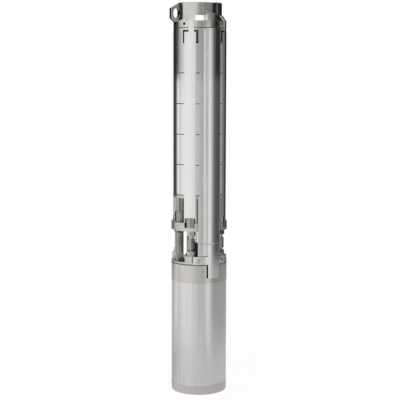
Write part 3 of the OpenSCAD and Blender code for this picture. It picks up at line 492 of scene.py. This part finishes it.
@dataclass
class Shape:
    """A mesh under construction, in millimetres for the pump and in metres for the tent."""

    points: list[Vector] = field(default_factory=list)
    faces: list[tuple[int, ...]] = field(default_factory=list)

    @classmethod
    def sweep(cls, rows: list[list[Vector]], closed: bool = False, loop: bool = True) -> "Shape":
        """Joins rows of points with faces.

        Args:
            rows: Rows with equal numbers of points.
            closed: True where the last row joins the first, false for two capped ends.
            loop: True where a row's last point joins its first.

        Returns:
            The swept shape.
        """
        count, total = len(rows[0]), len(rows)
        made = cls([point for row in rows for point in row])
        for row in range(total if closed else total - 1):
            here, there = row * count, (row + 1) % total * count
            for i in range(count if loop else count - 1):
                after = (i + 1) % count
                made.faces.append((here + i, there + i, there + after, here + after))
        if not closed:
            last = (total - 1) * count
            made.faces += [tuple(range(count)), tuple(last + i for i in reversed(range(count)))]
        return made

    @classmethod
    def lathe(cls, outline: list[Pair], steps: int, loop: bool = True) -> "Shape":
        """Turns an outline about the axis.

        Args:
            outline: Pairs of radius and height, in order.
            steps: Divisions round the axis.
            loop: True where the outline's last point joins its first.

        Returns:
            The turned shape.
        """
        rows = [turned(outline, math.tau * step / steps) for step in range(steps)]
        return cls.sweep(rows, closed=True, loop=loop)

    @classmethod
    def screw(cls, section: list[Pair], low: float, pitch: float, turns: float, steps: int) -> "Shape":
        """Winds a closed section up a screw line, and closes both ends.

        Args:
            section: Pairs of radius and height of the section at the start.
            low: Height of the start.
            pitch: Rise of one turn.
            turns: Number of turns.
            steps: Divisions of one turn.

        Returns:
            The wound bar.
        """
        shares = [step / steps for step in range(round(turns * steps) + 1)]
        return cls.sweep([turned(section, math.tau * s, low + pitch * s) for s in shares])

    @classmethod
    def arc(cls, radii: Pair, angles: Pair, heights: Pair, steps: int = 32) -> "Shape":
        """Bends a plate about the axis.

        Args:
            radii: Inner and outer radius.
            angles: First and last angle in degrees.
            heights: Lower and upper end.
            steps: Divisions of its angle.

        Returns:
            The plate.
        """
        first, last = (math.radians(angle) for angle in angles)
        section = oblong(radii, heights)
        turns = [first + (last - first) * step / steps for step in range(steps + 1)]
        return cls.sweep([turned(section, turn) for turn in turns])

    def placed(self, matrix: Matrix) -> "Shape":
        """Returns a copy moved by a matrix."""
        return Shape([matrix @ point for point in self.points], list(self.faces))

    def round_axis(self, radius: float, angles: tuple[float, ...]) -> "Shape":
        """Repeats the shape at a radius from the axis.

        Args:
            radius: Distance from the axis.
            angles: Directions in degrees.

        Returns:
            All the copies as one shape.
        """
        made = Shape()
        for angle in angles:
            made.add(self.placed(about_axis(angle) @ Matrix.Translation((radius, 0, 0))))
        return made

    def add(self, other: "Shape") -> "Shape":
        """Adds another shape to this one.

        Args:
            other: The shape to add.

        Returns:
            This shape.
        """
        base = len(self.points)
        self.points += other.points
        self.faces += [tuple(base + i for i in face) for face in other.faces]
        return self

    def piece(self, name: str, finish: Finish, crease: float = 32.0) -> bpy.types.Object:
        """Makes the shape a piece of the pump.

        Args:
            name: The piece's name.
            finish: Its finish.
            crease: Angle in degrees above which an edge stays sharp.

        Returns:
            The piece.
        """
        mesh = bpy.data.meshes.new(name)
        mesh.from_pydata([point * MM for point in self.points], [], self.faces)
        work = bmesh.new()
        work.from_mesh(mesh)
        bmesh.ops.recalc_face_normals(work, faces=work.faces)
        work.to_mesh(mesh)
        work.free()
        mesh.shade_smooth()
        mesh.set_sharp_from_angle(angle=math.radians(crease))
        mesh.materials.append(finish.material())
        made = bpy.data.objects.new(name, mesh)
        bpy.context.scene.collection.objects.link(made)
        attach(made, CASING)
        LOG.info("%s on %s", name, CASING)
        return made


@dataclass(frozen=True)
class Nut:
    """A hex nut on the axis, with both ends chamfered and its bore countersunk."""

    flats: float
    bore: float
    low: float
    height: float
    turn: float = 0.0
    sink: float = 0.6
    face_share: float = 0.97
    chamfer: float = 30.0
    sides: int = 6
    steps: int = 72
    crease: float = 20.0

    def shape(self) -> Shape:
        """Makes the nut.

        Returns:
            The nut's shape.
        """
        low, high = self.low, self.low + self.height
        bore, mouth = self.bore, self.bore + self.sink
        apothem, sector = self.flats / 2, math.tau / self.sides
        face_r = apothem * self.face_share
        rows = []
        for step in range(self.steps):
            turn = math.tau * step / self.steps
            corner = apothem / math.cos(turn % sector - sector / 2)
            drop = (corner - face_r) * math.tan(math.radians(self.chamfer))
            rows.append(turned([
                (bore, low + self.sink), (mouth, low), (face_r, low), (corner, low + drop),
                (corner, high - drop), (face_r, high), (mouth, high), (bore, high - self.sink),
            ], turn))
        return Shape.sweep(rows, closed=True).placed(about_axis(self.turn))


@dataclass(frozen=True)
class Stud:
    """A stud on the axis, with a rolled thread and a chamfered upper end."""

    radius: float
    low: float
    high: float
    pitch: float = 1.25
    depth: float = 0.5
    point: float = 0.8
    root: float = 0.1
    core_steps: int = 32
    thread_steps: int = 24

    def shape(self) -> Shape:
        """Makes the stud.

        Returns:
            The stud's shape.
        """
        core, neck = self.radius - self.depth, self.high - self.point
        outline = [
            (AXIS, self.low), (core, self.low), (core, neck), (core - self.point / 2, self.high),
            (AXIS, self.high),
        ]
        thread = ridge(core - self.root, self.radius, self.pitch, ROLLED_RIDGE)
        turns = (neck - self.low) / self.pitch - 1.0
        wound = Shape.screw(thread, self.low, self.pitch, turns, self.thread_steps)
        return Shape.lathe(outline, self.core_steps).add(wound)


@dataclass
class MotorSection:
    """The canned motor: end cap, sleeve, top band and what they hold."""

    sleeve: Reach = Reach.of("motor_sleeve")
    rim_h: float = 6.0
    rim_t: float = 0.08
    rim_lap: float = 0.4
    rim_sink: float = 0.2
    bead: Pair = (0.2, 0.32)
    bead_sink: float = 0.02
    bead_points: int = 10
    steps: int = 160

    def dress(self) -> None:
        """Gives every motor node its finish."""
        CAP.dress("motor_end_cap")
        CAN.dress("motor_sleeve")
        BAND.dress("motor_top_housing")
        INNER.dress("thrust_housing")
        LAMINATION.dress("stator_core", "rotor_core")
        COPPER.dress("stator_windings")
        SHAFT.dress("motor_shaft", "thrust_disc")
        CARBON.dress("thrust_shoes", "lower_bush", "upper_bush")
        RUBBER.dress("diaphragm", "shaft_seal", "sand_slinger")
        PLASTIC.dress("cable_socket")
        FASTENER.dress("fill_plug")

    def build(self) -> None:
        """Adds the cap's rim over the sleeve and the weld bead along it."""
        joint, radius = self.sleeve.low, self.sleeve.outer
        edge = joint + self.rim_h
        rim = oblong((radius - self.rim_sink, radius + self.rim_t), (joint - self.rim_lap, edge))
        Shape.lathe(rim, self.steps).piece("cap_rim", CAP)
        bead = oval((radius - self.bead_sink, edge), self.bead, self.bead_points)
        Shape.lathe(bead, self.steps).piece("cap_weld", CAN)


@dataclass
class SuctionSection:
    """The open suction end with its studs, nuts, bowl and coupling."""

    motor_studs: Reach = Reach.of("motor_studs")
    motor_nuts: Reach = Reach.of("motor_nuts")
    strap: Reach = Reach.of("strap_1")
    strap_nuts: Reach = Reach.of("strap_nuts")
    clamp_studs: Reach = Reach.of("clamp_studs")
    clamp_nuts: Reach = Reach.of("clamp_nuts")
    # A black ring in the gap under the flange, which paints the shade there
    shade_ring_r: Pair = (45.45, 46.9)
    shade_ring_z: Pair = (223.53, 224.95)
    shade_ring_steps: int = 128
    stud_root: float = 3.5
    nut_flats: float = 13.0
    nut_h: float = 8.0
    washer_h: float = 1.5
    washer_gap: float = 0.1
    washer_round: Pair = (0.2, 0.3)
    washer_steps: int = 48
    strap_thread: float = 0.35
    lock_nut_flats: float = 10.6
    lock_nut_z: float = 249.6
    lock_nut_h: float = 17.5
    lock_nut_turn: float = 24.0
    clamp_nut_flats: float = 11.4
    clamp_nut_turn: float = 27.0

    def dress(self) -> None:
        """Gives every node of the suction end its finish."""
        CAST.dress("suction_interconnector", "inlet_bowl")
        SHAFT.dress("pump_shaft")
        # The coupling's near-black colour paints the shade in the flange's bowl
        COUPLING_SHADE.dress("coupling")

    def build(self) -> None:
        """Makes the black ring in the gap under the flange, which paints its shade, and the studs and nuts
        of each joint.
        """
        shade_ring = Shape.lathe(oblong(self.shade_ring_r, self.shade_ring_z), self.shade_ring_steps)
        shade_ring.piece("flange_shade_ring", RUBBER)
        self.motor_joint()
        self.strap_joint()
        self.clamp_joint()

    def motor_joint(self) -> None:
        """Makes the studs and nuts that hold the motor, with their washers."""
        radius, circle = self.motor_studs.half, self.motor_studs.middle
        stud = Stud(radius, self.motor_studs.low - self.stud_root, self.motor_studs.high)
        studs = stud.shape().round_axis(circle, STRAP_ANGLES)
        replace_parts(studs.piece("motor_stud_threads", FASTENER), "motor_studs")
        low, top = self.motor_nuts.low, self.motor_nuts.low + self.washer_h
        inner, outer = radius + self.washer_gap, self.motor_nuts.half
        under, over = self.washer_round
        washer = Shape.lathe([
            (inner, low), (outer - under, low), (outer, low + under), (outer, top - over),
            (outer - over, top), (inner, top),
        ], self.washer_steps)
        nut = Nut(self.nut_flats, radius, top, self.nut_h - self.washer_h)
        nuts = washer.add(nut.shape()).round_axis(circle, STRAP_ANGLES)
        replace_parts(nuts.piece("motor_nut_set", FASTENER, nut.crease), "motor_nuts")

    def strap_joint(self) -> None:
        """Makes the nuts, threads and lock nuts of the straps' feet."""
        radius, circle = self.motor_studs.half, self.strap_nuts.middle
        nut = Nut(self.nut_flats, radius, self.strap_nuts.low, self.nut_h)
        nuts = nut.shape().round_axis(circle, STRAP_ANGLES)
        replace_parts(nuts.piece("strap_nut_set", FASTENER, nut.crease), "strap_nuts")
        stud = Stud(radius + self.strap_thread, self.strap.low, self.strap_nuts.low)
        stud.shape().round_axis(circle, STRAP_ANGLES).piece("strap_stud_threads", FASTENER)
        nut = Nut(self.lock_nut_flats, radius, self.lock_nut_z, self.lock_nut_h, self.lock_nut_turn)
        locks = nut.shape().round_axis(circle, STRAP_ANGLES)
        # The lock nuts take the darker steel, which paints their shade
        locks.piece("strap_lock_nuts", SHADED_STEEL, nut.crease)

    def clamp_joint(self) -> None:
        """Makes the studs and long nuts in the recesses of the bowl."""
        radius, circle = self.clamp_studs.half, self.clamp_studs.middle
        stud = Stud(radius, self.clamp_studs.low, self.clamp_studs.high)
        studs = stud.shape().round_axis(circle, PILLAR_ANGLES)
        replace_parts(studs.piece("clamp_stud_threads", FASTENER), "clamp_studs")
        low, high = self.clamp_nuts.low, self.clamp_nuts.high
        nut = Nut(self.clamp_nut_flats, radius, low, high - low, self.clamp_nut_turn)
        nuts = nut.shape().round_axis(circle, PILLAR_ANGLES)
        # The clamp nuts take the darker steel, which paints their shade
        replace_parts(nuts.piece("clamp_nut_set", SHADED_STEEL, nut.crease), "clamp_nuts")


@dataclass
class StageStack:
    """The stage chambers with their impellers, and the straps that clamp them."""

    stages: int = 5
    straps: int = 4
    seam_h: float = 1.2
    seam_gap: float = 0.05
    # Black rings in the chambers' joint grooves, which paint the shade of the seams
    shade_ring_r: Pair = (42.9, 43.75)
    shade_ring_steps: int = 128
    strap_nuts: Reach = Reach.of("strap_nuts")
    foot_r: float = 9.0
    foot_sink: float = 0.1
    foot_skin: float = 0.08
    foot_half: float = 105.0
    foot_z: Pair = (287.1, 303.8)

    def names(self, stem: str) -> list[str]:
        """Returns the nodes of a stem, one for each stage from the bottom."""
        return [f"{stem}_{number}" for number in range(1, self.stages + 1)]

    def dress(self) -> None:
        """Gives chambers, impellers, bearings and straps their finishes."""
        SHEET.dress(*self.names("chamber"))
        IMPELLER.dress(*self.names("impeller"))
        FASTENER.dress("split_cones", "cone_nuts")
        RUBBER.dress("wear_rings")
        CARBON.dress("shaft_bearings")
        STRAP.dress(*(f"strap_{number}" for number in range(1, self.straps + 1)))

    def build(self) -> None:
        """Adds black rings in the chambers' joint grooves, which paint the shade of the seams, and a
        darker skin over the strap feet, which paints their shade.
        """
        chambers = [Reach.of(name) for name in self.names("chamber")]
        seams = [chamber.low for chamber in chambers] + [chambers[-1].high]
        shade_rings = Shape()
        for seam in seams:
            heights = (seam + self.seam_gap, seam + self.seam_h - self.seam_gap)
            shade_rings.add(Shape.lathe(oblong(self.shade_ring_r, heights), self.shade_ring_steps))
        shade_rings.piece("joint_shade_rings", RUBBER)
        # A thin skin of the darker steel over the strap feet, which paints their shade
        radii = (self.foot_r - self.foot_sink, self.foot_r + self.foot_skin)
        shade_skin = Shape.arc(radii, (-self.foot_half, self.foot_half), self.foot_z)
        shade_skin.round_axis(self.strap_nuts.middle, STRAP_ANGLES).piece("foot_shade_skins", SHADED_STEEL)


@dataclass
class DischargeSection:
    """The discharge head with its thread, the check valve and the lifting eye."""

    head: Reach = Reach.of("discharge_head")
    thread_z: Pair = (640.0, 660.2)
    thread_pitch: float = 2.309
    thread_h: float = 0.55
    thread_sink: float = 0.15
    thread_steps: int = 96
    lock_angle: float = 210.3
    lock_z: float = 626.0
    lock_r: float = 1.68
    lock_at: Pair = (42.0, 43.98)
    lock_lip: float = 0.7
    lock_steps: int = 32
    eye_angle: float = 180.0
    eye_half: float = 3.5
    collar_r: float = 37.6
    weld: float = 1.5
    weld_reach: float = 8.2
    weld_z: Pair = (640.5, 658.6)
    weld_rows: int = 24
    weld_wave: float = 0.06
    wave_rows: int = 3
    weld_crease: float = 60.0
    weld_sink: float = 0.4
    weld_toe: float = 0.15
    weld_belly: float = 0.25
    weld_crown: float = 0.1
    weld_lap: float = 0.3
    spring_r: float = 9.7
    wire_r: float = 0.7
    wire_points: int = 12
    spring_z: Pair = (609.0, 625.0)
    spring_turns: float = 4.0
    spring_steps: int = 40
    spring_keep: float = 0.375

    def dress(self) -> None:
        """Gives the head, the eye and the valve their finishes."""
        HEAD.dress("discharge_head", "lifting_eye")
        INNER.dress("valve_seat", "valve_guide")
        RUBBER.dress("seat_o_ring")
        SHAFT.dress("valve_cup")

    def build(self) -> None:
        """Makes the outlet thread, the lock plug, the weld at the eye and the spring."""
        self.outlet_thread().piece("outlet_thread", HEAD)
        self.lock_plug().piece("lock_plug", RUBBER)
        # The weld's near-black colour paints the shade at the eye's root
        self.eye_weld().piece("eye_weld", WELD_SHADE, self.weld_crease)
        self.spring()

    def outlet_thread(self) -> Shape:
        """Cuts the pipe thread's ridge round the outlet.

        Returns:
            The ridge.
        """
        low, high = self.thread_z
        root, crest = self.head.inner + self.thread_sink, self.head.inner - self.thread_h
        section = ridge(root, crest, self.thread_pitch, CUT_RIDGE)
        turns = (high - low) / self.thread_pitch - 1.0
        return Shape.screw(section, low, self.thread_pitch, turns, self.thread_steps)

    def lock_plug(self) -> Shape:
        """Makes the small lipped plug in the head's side.

        Returns:
            The plug in its place.
        """
        near, far = self.lock_at
        lip_r, top = self.lock_r + self.lock_lip, far + self.lock_lip
        outline = [
            (AXIS, near), (self.lock_r, near), (self.lock_r, far), (lip_r, far),
            (lip_r, far + self.lock_lip / 2), (self.lock_r, top), (AXIS, top),
        ]
        plug = Shape.lathe(outline, self.lock_steps)
        return plug.placed(facing_out(self.lock_angle, 0.0, self.lock_z))

    def eye_weld(self) -> Shape:
        """Runs a hollow weld seam down both sides of the eye's root.

        Returns:
            Both seams as one shape.
        """
        low, high = self.weld_z
        inside, foot = self.eye_half - self.weld_lap, self.eye_half + self.weld_crown
        made = Shape()
        for side in (-1.0, 1.0):
            rows = []
            for row in range(self.weld_rows + 1):
                share = 1.0 - self.weld_wave * (1.0 - math.cos(math.tau * row / self.wave_rows))
                swell, wide = self.weld * share, self.eye_half + self.weld_reach * share
                middle = (self.eye_half + wide) / 2
                toe, belly, crown = (
                    math.sqrt(self.collar_r ** 2 - y ** 2) for y in (wide, middle, self.eye_half)
                )
                section = [
                    (toe - self.weld_sink, inside), (toe - self.weld_sink, wide),
                    (toe + self.weld_toe, wide), (belly + self.weld_belly * swell, middle),
                    (crown + swell, foot), (crown + swell, inside),
                ]
                z = low + (high - low) * row / self.weld_rows
                rows.append([Vector((x, side * y, z)) for x, y in section])
            made.add(Shape.sweep(rows))
        return made.placed(about_axis(self.eye_angle))

    def spring(self) -> None:
        """Winds the valve's spring, which the real valve presses together as its cup lifts."""
        z0, z1 = self.spring_z
        wire = oval((self.spring_r, self.wire_r), (self.wire_r, self.wire_r), self.wire_points)
        rise = (z1 - z0 - 2 * self.wire_r) / self.spring_turns
        wound = Shape.screw(wire, z0, rise, self.spring_turns, self.spring_steps)
        spring = wound.piece("lift_spring", SPRING)
        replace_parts(spring, "valve_spring")
        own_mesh(spring)


@dataclass
class GuardSection:
    """The cable guard down the front and its screws."""

    sheet_r: Pair = (43.9, 44.3)
    sheet_a: Pair = (-114.2, -106.3)
    sheet_z: Pair = (341.2, 595.0)
    lip_r: float = 44.9
    hem_a: Triple = (-104.7, -103.2, -98.4)
    hem_h: float = 0.52
    hem_sink: float = 0.1
    hem_z: tuple[Pair, ...] = ((239.0, 260.0), (260.6, 617.0))
    screw_angles: Pair = (-116.1, -63.9)
    screw_z: float = 231.0
    screw_steps: int = 48
    screw_crease: float = 28.0
    seat_r: float = 48.37
    head_r: float = 4.0
    head_h: float = 1.8
    head_rim: float = 0.35
    dome_angles: tuple[float, ...] = (0.0, 20.0, 38.0, 52.0)
    shank_r: float = 2.0
    shank_l: float = 4.0
    socket_r: float = 1.9
    socket_taper: float = 0.86
    socket_depth: float = 1.1

    def dress(self) -> None:
        """Gives the guard its finish."""
        GUARD.dress("cable_guard", "lower_guard")

    def build(self) -> None:
        """Makes the lip's sheet, its hem and the screws."""
        Shape.arc(self.sheet_r, self.sheet_a, self.sheet_z).piece("guard_lip_sheet", GUARD)
        self.hem().piece("guard_hem", GUARD)
        screws, screw = Shape(), self.screw()
        for angle in self.screw_angles:
            screws.add(screw.placed(facing_out(angle, self.seat_r, self.screw_z)))
        made = screws.piece("guard_screw_set", FASTENER, self.screw_crease)
        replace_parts(made, "guard_screws")

    def hem(self) -> Shape:
        """Folds the hem along the lip, in one length for each guard.

        Returns:
            Both lengths as one shape.
        """
        start, crest, tail = self.hem_a
        surface, under = self.lip_r - self.hem_sink, self.lip_r - 2 * self.hem_sink
        outline = [
            (start, self.lip_r), (crest, self.lip_r + self.hem_h), (tail, surface), (tail, under),
            (start, under),
        ]
        made = Shape()
        for heights in self.hem_z:
            rows = [[about_axis(angle) @ Vector((r, 0, z)) for angle, r in outline] for z in heights]
            made.add(Shape.sweep(rows))
        return made

    def screw(self) -> Shape:
        """Makes a domed screw with a round socket.

        Returns:
            The screw on the axis, with its head's seat at height 0.
        """
        dome_h, floor = self.head_h - self.head_rim, self.head_h - self.socket_depth
        dome = [
            (self.head_r * math.cos(a), self.head_rim + dome_h * math.sin(a))
            for a in (math.radians(angle) for angle in self.dome_angles)
        ]
        shank = [(AXIS, -self.shank_l), (self.shank_r, -self.shank_l), (self.shank_r, 0.0)]
        socket = [
            (self.socket_r, self.head_h), (self.socket_r * self.socket_taper, floor), (AXIS, floor),
        ]
        return Shape.lathe([*shank, (self.head_r, 0.0), *dome, *socket], self.screw_steps)


@dataclass(frozen=True)
class TentBand:
    """A band of the light tent: its start out along skirt and wall, and its level by direction."""

    start: float
    blend: float
    levels: tuple[Pair, ...]

    def ramp(self, tree: Tree) -> bpy.types.Node:
        """Makes the ramp of levels round the tent.

        Args:
            tree: The material's tree.

        Returns:
            The ramp, read with the share of a turn.
        """
        made = tree.node("ValToRGB")
        stops = made.color_ramp.elements
        stops.remove(stops[1])
        for azimuth, level in self.levels[1:]:
            stops.new(0.5 + azimuth / 360).color = (level, level, level, 1.0)
        first = self.levels[0][1]
        stops[0].color = (first, first, first, 1.0)
        return made


# Levels are pairs of an azimuth from the camera in degrees and a brightness
FLOOR_BAND = TentBand(0.0, 0.0, (
    (-180, 0.55), (-130, 0.50), (-110, 0.52), (-94, 0.64), (-80, 0.70), (-30, 0.71), (20, 0.64),
    (90, 0.61), (179, 0.56),
))
MOTOR_BAND = TentBand(0.25, 0.3, (
    (-180, 0.52), (-150, 0.58), (-126, 0.58), (-116, 0.74), (-109, 0.94), (-102, 0.80), (-95, 0.66),
    (-87, 0.76), (-78, 0.85), (-38, 0.86), (-17, 0.72), (4, 0.62), (17, 0.58), (25, 0.66), (36, 0.86),
    (42, 0.78), (49, 0.60), (57, 0.46), (71, 0.42), (121, 0.42), (150, 0.45), (179, 0.52),
))
STAGE_BAND = TentBand(1.12, 0.05, (
    (-180, 0.60), (-166, 0.50), (-157, 0.04), (-137, 0.06), (-126, 0.07), (-118, 0.36), (-110, 0.94),
    (-102, 0.90), (-95, 0.73), (-78, 0.95), (-42, 0.94), (-20, 0.82), (-14, 0.66), (2, 0.56),
    (15, 0.46), (24, 0.60), (33, 0.92), (40, 0.94), (46, 0.70), (50, 0.50), (55, 0.29), (60, 0.16),
    (66, 0.11), (84, 0.07), (96, 0.12), (108, 0.36), (117, 0.20), (128, 0.18), (138, 0.04),
    (157, 0.04), (166, 0.50), (179, 0.60),
))
TOP_STAGE_BAND = TentBand(1.627, 0.012, (
    (-180, 0.60), (-168, 0.50), (-159, 0.05), (-138, 0.005), (-118, 0.07), (-108, 0.14), (-101, 0.32),
    (-95, 0.46), (-77, 0.72), (-66, 0.88), (-42, 0.94), (-20, 0.82), (-14, 0.62), (-9, 0.44),
    (2, 0.43), (15, 0.37), (24, 0.52), (33, 0.80), (41, 0.90), (46, 0.60), (50, 0.46), (55, 0.18),
    (66, 0.03), (86, 0.02), (98, 0.10), (108, 0.34), (117, 0.18), (127, 0.18), (138, 0.03),
    (158, 0.04), (167, 0.50), (179, 0.60),
))
HEAD_BAND = TentBand(1.77, 0.02, (
    (-180, 0.55), (-168, 0.45), (-160, 0.01), (-105, 0.01), (-102, 0.24), (-98, 0.72), (-86, 0.84),
    (-70, 0.78), (-26, 0.80), (-14, 0.70), (-6, 0.48), (2, 0.36), (8, 0.28), (13, 0.36), (18, 0.36),
    (26, 0.22), (58, 0.24), (66, 0.17), (72, 0.03), (84, 0.005), (92, 0.04), (99, 0.17), (105, 0.08),
    (111, 0.01), (130, 0.02), (150, 0.01), (160, 0.01), (168, 0.45), (179, 0.55),
))


@dataclass(frozen=True)
class Lamp:
    """A square soft lamp, in metres and watts."""

    name: str
    spot: Triple
    size: float
    power: float

    def hang(self, target: Vector) -> None:
        """Hangs the lamp and aims it, out of sight of mirrored rays.

        Args:
            target: The point that it shines at.
        """
        lamp = bpy.data.lights.new(self.name, "AREA")
        lamp.size = self.size
        lamp.energy = self.power
        made = bpy.data.objects.new(self.name, lamp)
        made.location = self.spot
        made.rotation_euler = (target - Vector(self.spot)).to_track_quat("-Z", "Y").to_euler()
        made.visible_glossy = False
        bpy.context.scene.collection.objects.link(made)


@dataclass
class Studio:
    """White floor, light tent, lamps and the camera at the photograph's angle, in metres."""

    camera_at: Triple = (-0.7645, -1.6699, 0.5435)
    look_at: Triple = (0.0013, -0.0006, 0.3294)
    lens: float = 97.2
    sensor: float = 36.0
    roll: float = 0.15
    sky: Triple = (0.95, 0.97, 1.0)
    sky_strength: float = 0.6
    sky_shares: Triple = (1.0, 0.4, 1.0)
    floor_size: float = 24.0
    floor_colour: Triple = (0.9, 0.9, 0.9)
    floor_roughness: float = 0.9
    floor_shares: Triple = (0.95, 0.4, 0.4)
    fade: Pair = (0.12, 0.7)
    skirt: Pair = (0.03, 0.001)
    tent_r: float = 1.1
    tent_z: Pair = (0.002, 1.7)
    tent_steps: int = 96
    panel_aim: Triple = (0.0, 0.0, 0.635)
    panel_forward: float = 0.42
    panel_up: float = 1.1
    panel_size: float = 0.5
    panel_glow: float = 1.45
    lamp_aim: Triple = (0.0, 0.0, 0.3)
    lamps: tuple[Lamp, ...] = (
        Lamp("key_lamp", (-2.2, -1.4, 2.4), 1.6, 30.0), Lamp("fill_lamp", (2.0, -1.8, 1.6), 1.4, 8.0),
    )

    def build(self) -> None:
        """Sets up the whole studio."""
        bpy.context.scene.view_settings.view_transform = "Standard"
        self.world()
        self.floor()
        self.tent()
        self.overhead()
        for lamp in self.lamps:
            lamp.hang(Vector(self.lamp_aim))
        self.camera()

    def world(self) -> None:
        """Makes a world that shows white and lights softly."""
        world = bpy.data.worlds.new("studio")
        bpy.context.scene.world = world
        world.use_nodes = True
        tree = Tree(world.node_tree)
        light = tree.named("Background")
        light.inputs["Color"].default_value = (*self.sky, 1.0)
        light.inputs["Strength"].default_value = self.sky_strength
        shown = tree.node("Background", {"Color": (1.0, 1.0, 1.0, 1.0)})
        mix = tree.node("MixShader")
        tree.link(self.seen(tree, self.sky_shares), 0, mix, "Fac")
        tree.link(light, 0, mix, 1)
        tree.link(shown, 0, mix, 2)
        tree.link(mix, 0, tree.named("World Output"), "Surface")

    @staticmethod
    def seen(tree: Tree, shares: Triple) -> bpy.types.Node:
        """Adds up what each kind of ray sees of a white surface.

        Args:
            tree: The tree to add to.
            shares: Share of white for each kind of ray, in their order.

        Returns:
            The node that puts out the share for the present ray.
        """
        path = tree.node("LightPath")
        total = None
        for ray, share in zip(Ray, shares):
            part = tree.node("Math", {1: share, 2: 0.0}, operation="MULTIPLY_ADD", use_clamp=True)
            tree.link(path, ray.value, part, 0)
            if total:
                tree.link(total, 0, part, 2)
            total = part
        return total

    def floor(self) -> None:
        """Lays the pale floor, which keeps the pump's shadow and fades to white."""
        bpy.ops.mesh.primitive_plane_add(size=self.floor_size)
        floor = bpy.context.object
        floor.name = "floor"
        made, tree = new_material("floor_white")
        shader = tree.named("Principled BSDF")
        shader.inputs["Base Color"].default_value = (*self.floor_colour, 1.0)
        shader.inputs["Roughness"].default_value = self.floor_roughness
        place = tree.node("TexCoord")
        reach = tree.node("VectorMath", operation="LENGTH")
        start, end = self.fade
        limits = {"From Min": start, "From Max": end}
        fade = tree.node("MapRange", limits, interpolation_type="SMOOTHSTEP")
        white = tree.node("Emission")
        near = tree.node("MixShader")
        far = tree.node("MixShader")
        tree.link(place, "Object", reach, 0)
        tree.link(reach, "Value", fade, "Value")
        tree.link(self.seen(tree, self.floor_shares), 0, near, "Fac")
        tree.link(shader, 0, near, 1)
        tree.link(white, 0, near, 2)
        tree.link(fade, "Result", far, "Fac")
        tree.link(near, 0, far, 1)
        tree.link(white, 0, far, 2)
        tree.link(far, 0, tree.named("Material Output"), "Surface")
        floor.data.materials.append(made)

    @staticmethod
    def only_mirrored(obj: bpy.types.Object) -> None:
        """Leaves an object to be seen in mirrored rays alone.

        Args:
            obj: The object.
        """
        obj.visible_camera = False
        obj.visible_diffuse = False
        obj.visible_shadow = False

    def tent(self) -> None:
        """Stands a light tent on a skirt round the pump, with panels that the steel mirrors."""
        foot, top = self.tent_z
        shape = Shape.lathe(
            [self.skirt, (self.tent_r, foot), (self.tent_r, top)], self.tent_steps, loop=False
        )
        mesh = bpy.data.meshes.new("light_tent")
        mesh.from_pydata(shape.points, [], shape.faces)
        mesh.materials.append(self.panels())
        tent = bpy.data.objects.new("light_tent", mesh)
        tent.rotation_euler = (0, 0, math.atan2(self.camera_at[1], self.camera_at[0]))
        bpy.context.scene.collection.objects.link(tent)
        self.only_mirrored(tent)

    @staticmethod
    def panels() -> bpy.types.Material:
        """Makes the tent's glow, from one ramp of levels for each band.

        Returns:
            The material.
        """
        made, tree, glow = new_glow("tent_panels")
        place = tree.node("TexCoord")
        turn = tree.node("TexGradient", gradient_type="RADIAL")
        flat = tree.node("VectorMath", {1: (1.0, 1.0, 0.0)}, operation="MULTIPLY")
        reach = tree.node("VectorMath", operation="LENGTH")
        height = tree.node("SeparateXYZ")
        along = tree.node("Math", operation="ADD")
        tree.link(place, "Object", turn, "Vector")
        tree.link(place, "Object", flat, 0)
        tree.link(flat, "Vector", reach, 0)
        tree.link(place, "Object", height, "Vector")
        tree.link(reach, "Value", along, 0)
        tree.link(height, "Z", along, 1)
        colour = FLOOR_BAND.ramp(tree), "Color"
        tree.link(turn, "Fac", colour[0], "Fac")
        for band in (MOTOR_BAND, STAGE_BAND, TOP_STAGE_BAND, HEAD_BAND):
            ramp = band.ramp(tree)
            tree.link(turn, "Fac", ramp, "Fac")
            share = tree.node("MapRange", {"From Min": band.start, "From Max": band.start + band.blend})
            tree.link(along, 0, share, "Value")
            mix = tree.node("Mix", data_type="RGBA")
            tree.link(share, "Result", mix, "Factor")
            tree.link(*colour, mix, MIX_A)
            tree.link(ramp, "Color", mix, MIX_B)
            colour = mix, MIX_RESULT
        tree.link(*colour, glow, "Color")
        return made

    def overhead(self) -> None:
        """Hangs the soft panel over the head that whitens its cone."""
        toward = Vector((self.camera_at[0], self.camera_at[1], 0)).normalized()
        head = Vector(self.panel_aim)
        spot = head + toward * self.panel_forward + Vector((0, 0, self.panel_up))
        bpy.ops.mesh.primitive_plane_add(size=self.panel_size, location=spot)
        panel = bpy.context.object
        panel.name = "overhead_panel"
        panel.rotation_euler = (head - spot).to_track_quat("Z", "Y").to_euler()
        made, _, glow = new_glow("overhead_glow")
        glow.inputs["Strength"].default_value = self.panel_glow
        panel.data.materials.append(made)
        self.only_mirrored(panel)

    def camera(self) -> None:
        """Places the camera where the photograph was taken from."""
        lens = bpy.data.cameras.new("photo_camera")
        lens.lens = self.lens
        lens.sensor_width = self.sensor
        made = bpy.data.objects.new("photo_camera", lens)
        made.location = self.camera_at
        aim = (Vector(self.look_at) - Vector(self.camera_at)).to_track_quat("-Z", "Y").to_matrix()
        made.rotation_euler = (aim.to_4x4() @ about_axis(self.roll)).to_euler()
        bpy.context.scene.collection.objects.link(made)
        bpy.context.scene.camera = made


def main() -> None:
    """Builds and dresses every section, then the studio."""
    logging.basicConfig(level=logging.INFO, format="%(message)s")
    sections = (MotorSection(), SuctionSection(), StageStack(), DischargeSection(), GuardSection())
    for section in sections:
        section.dress()
    for section in sections:
        section.build()
    Studio().build()
    bpy.context.view_layer.update()


if __name__ == "__main__":
    main()
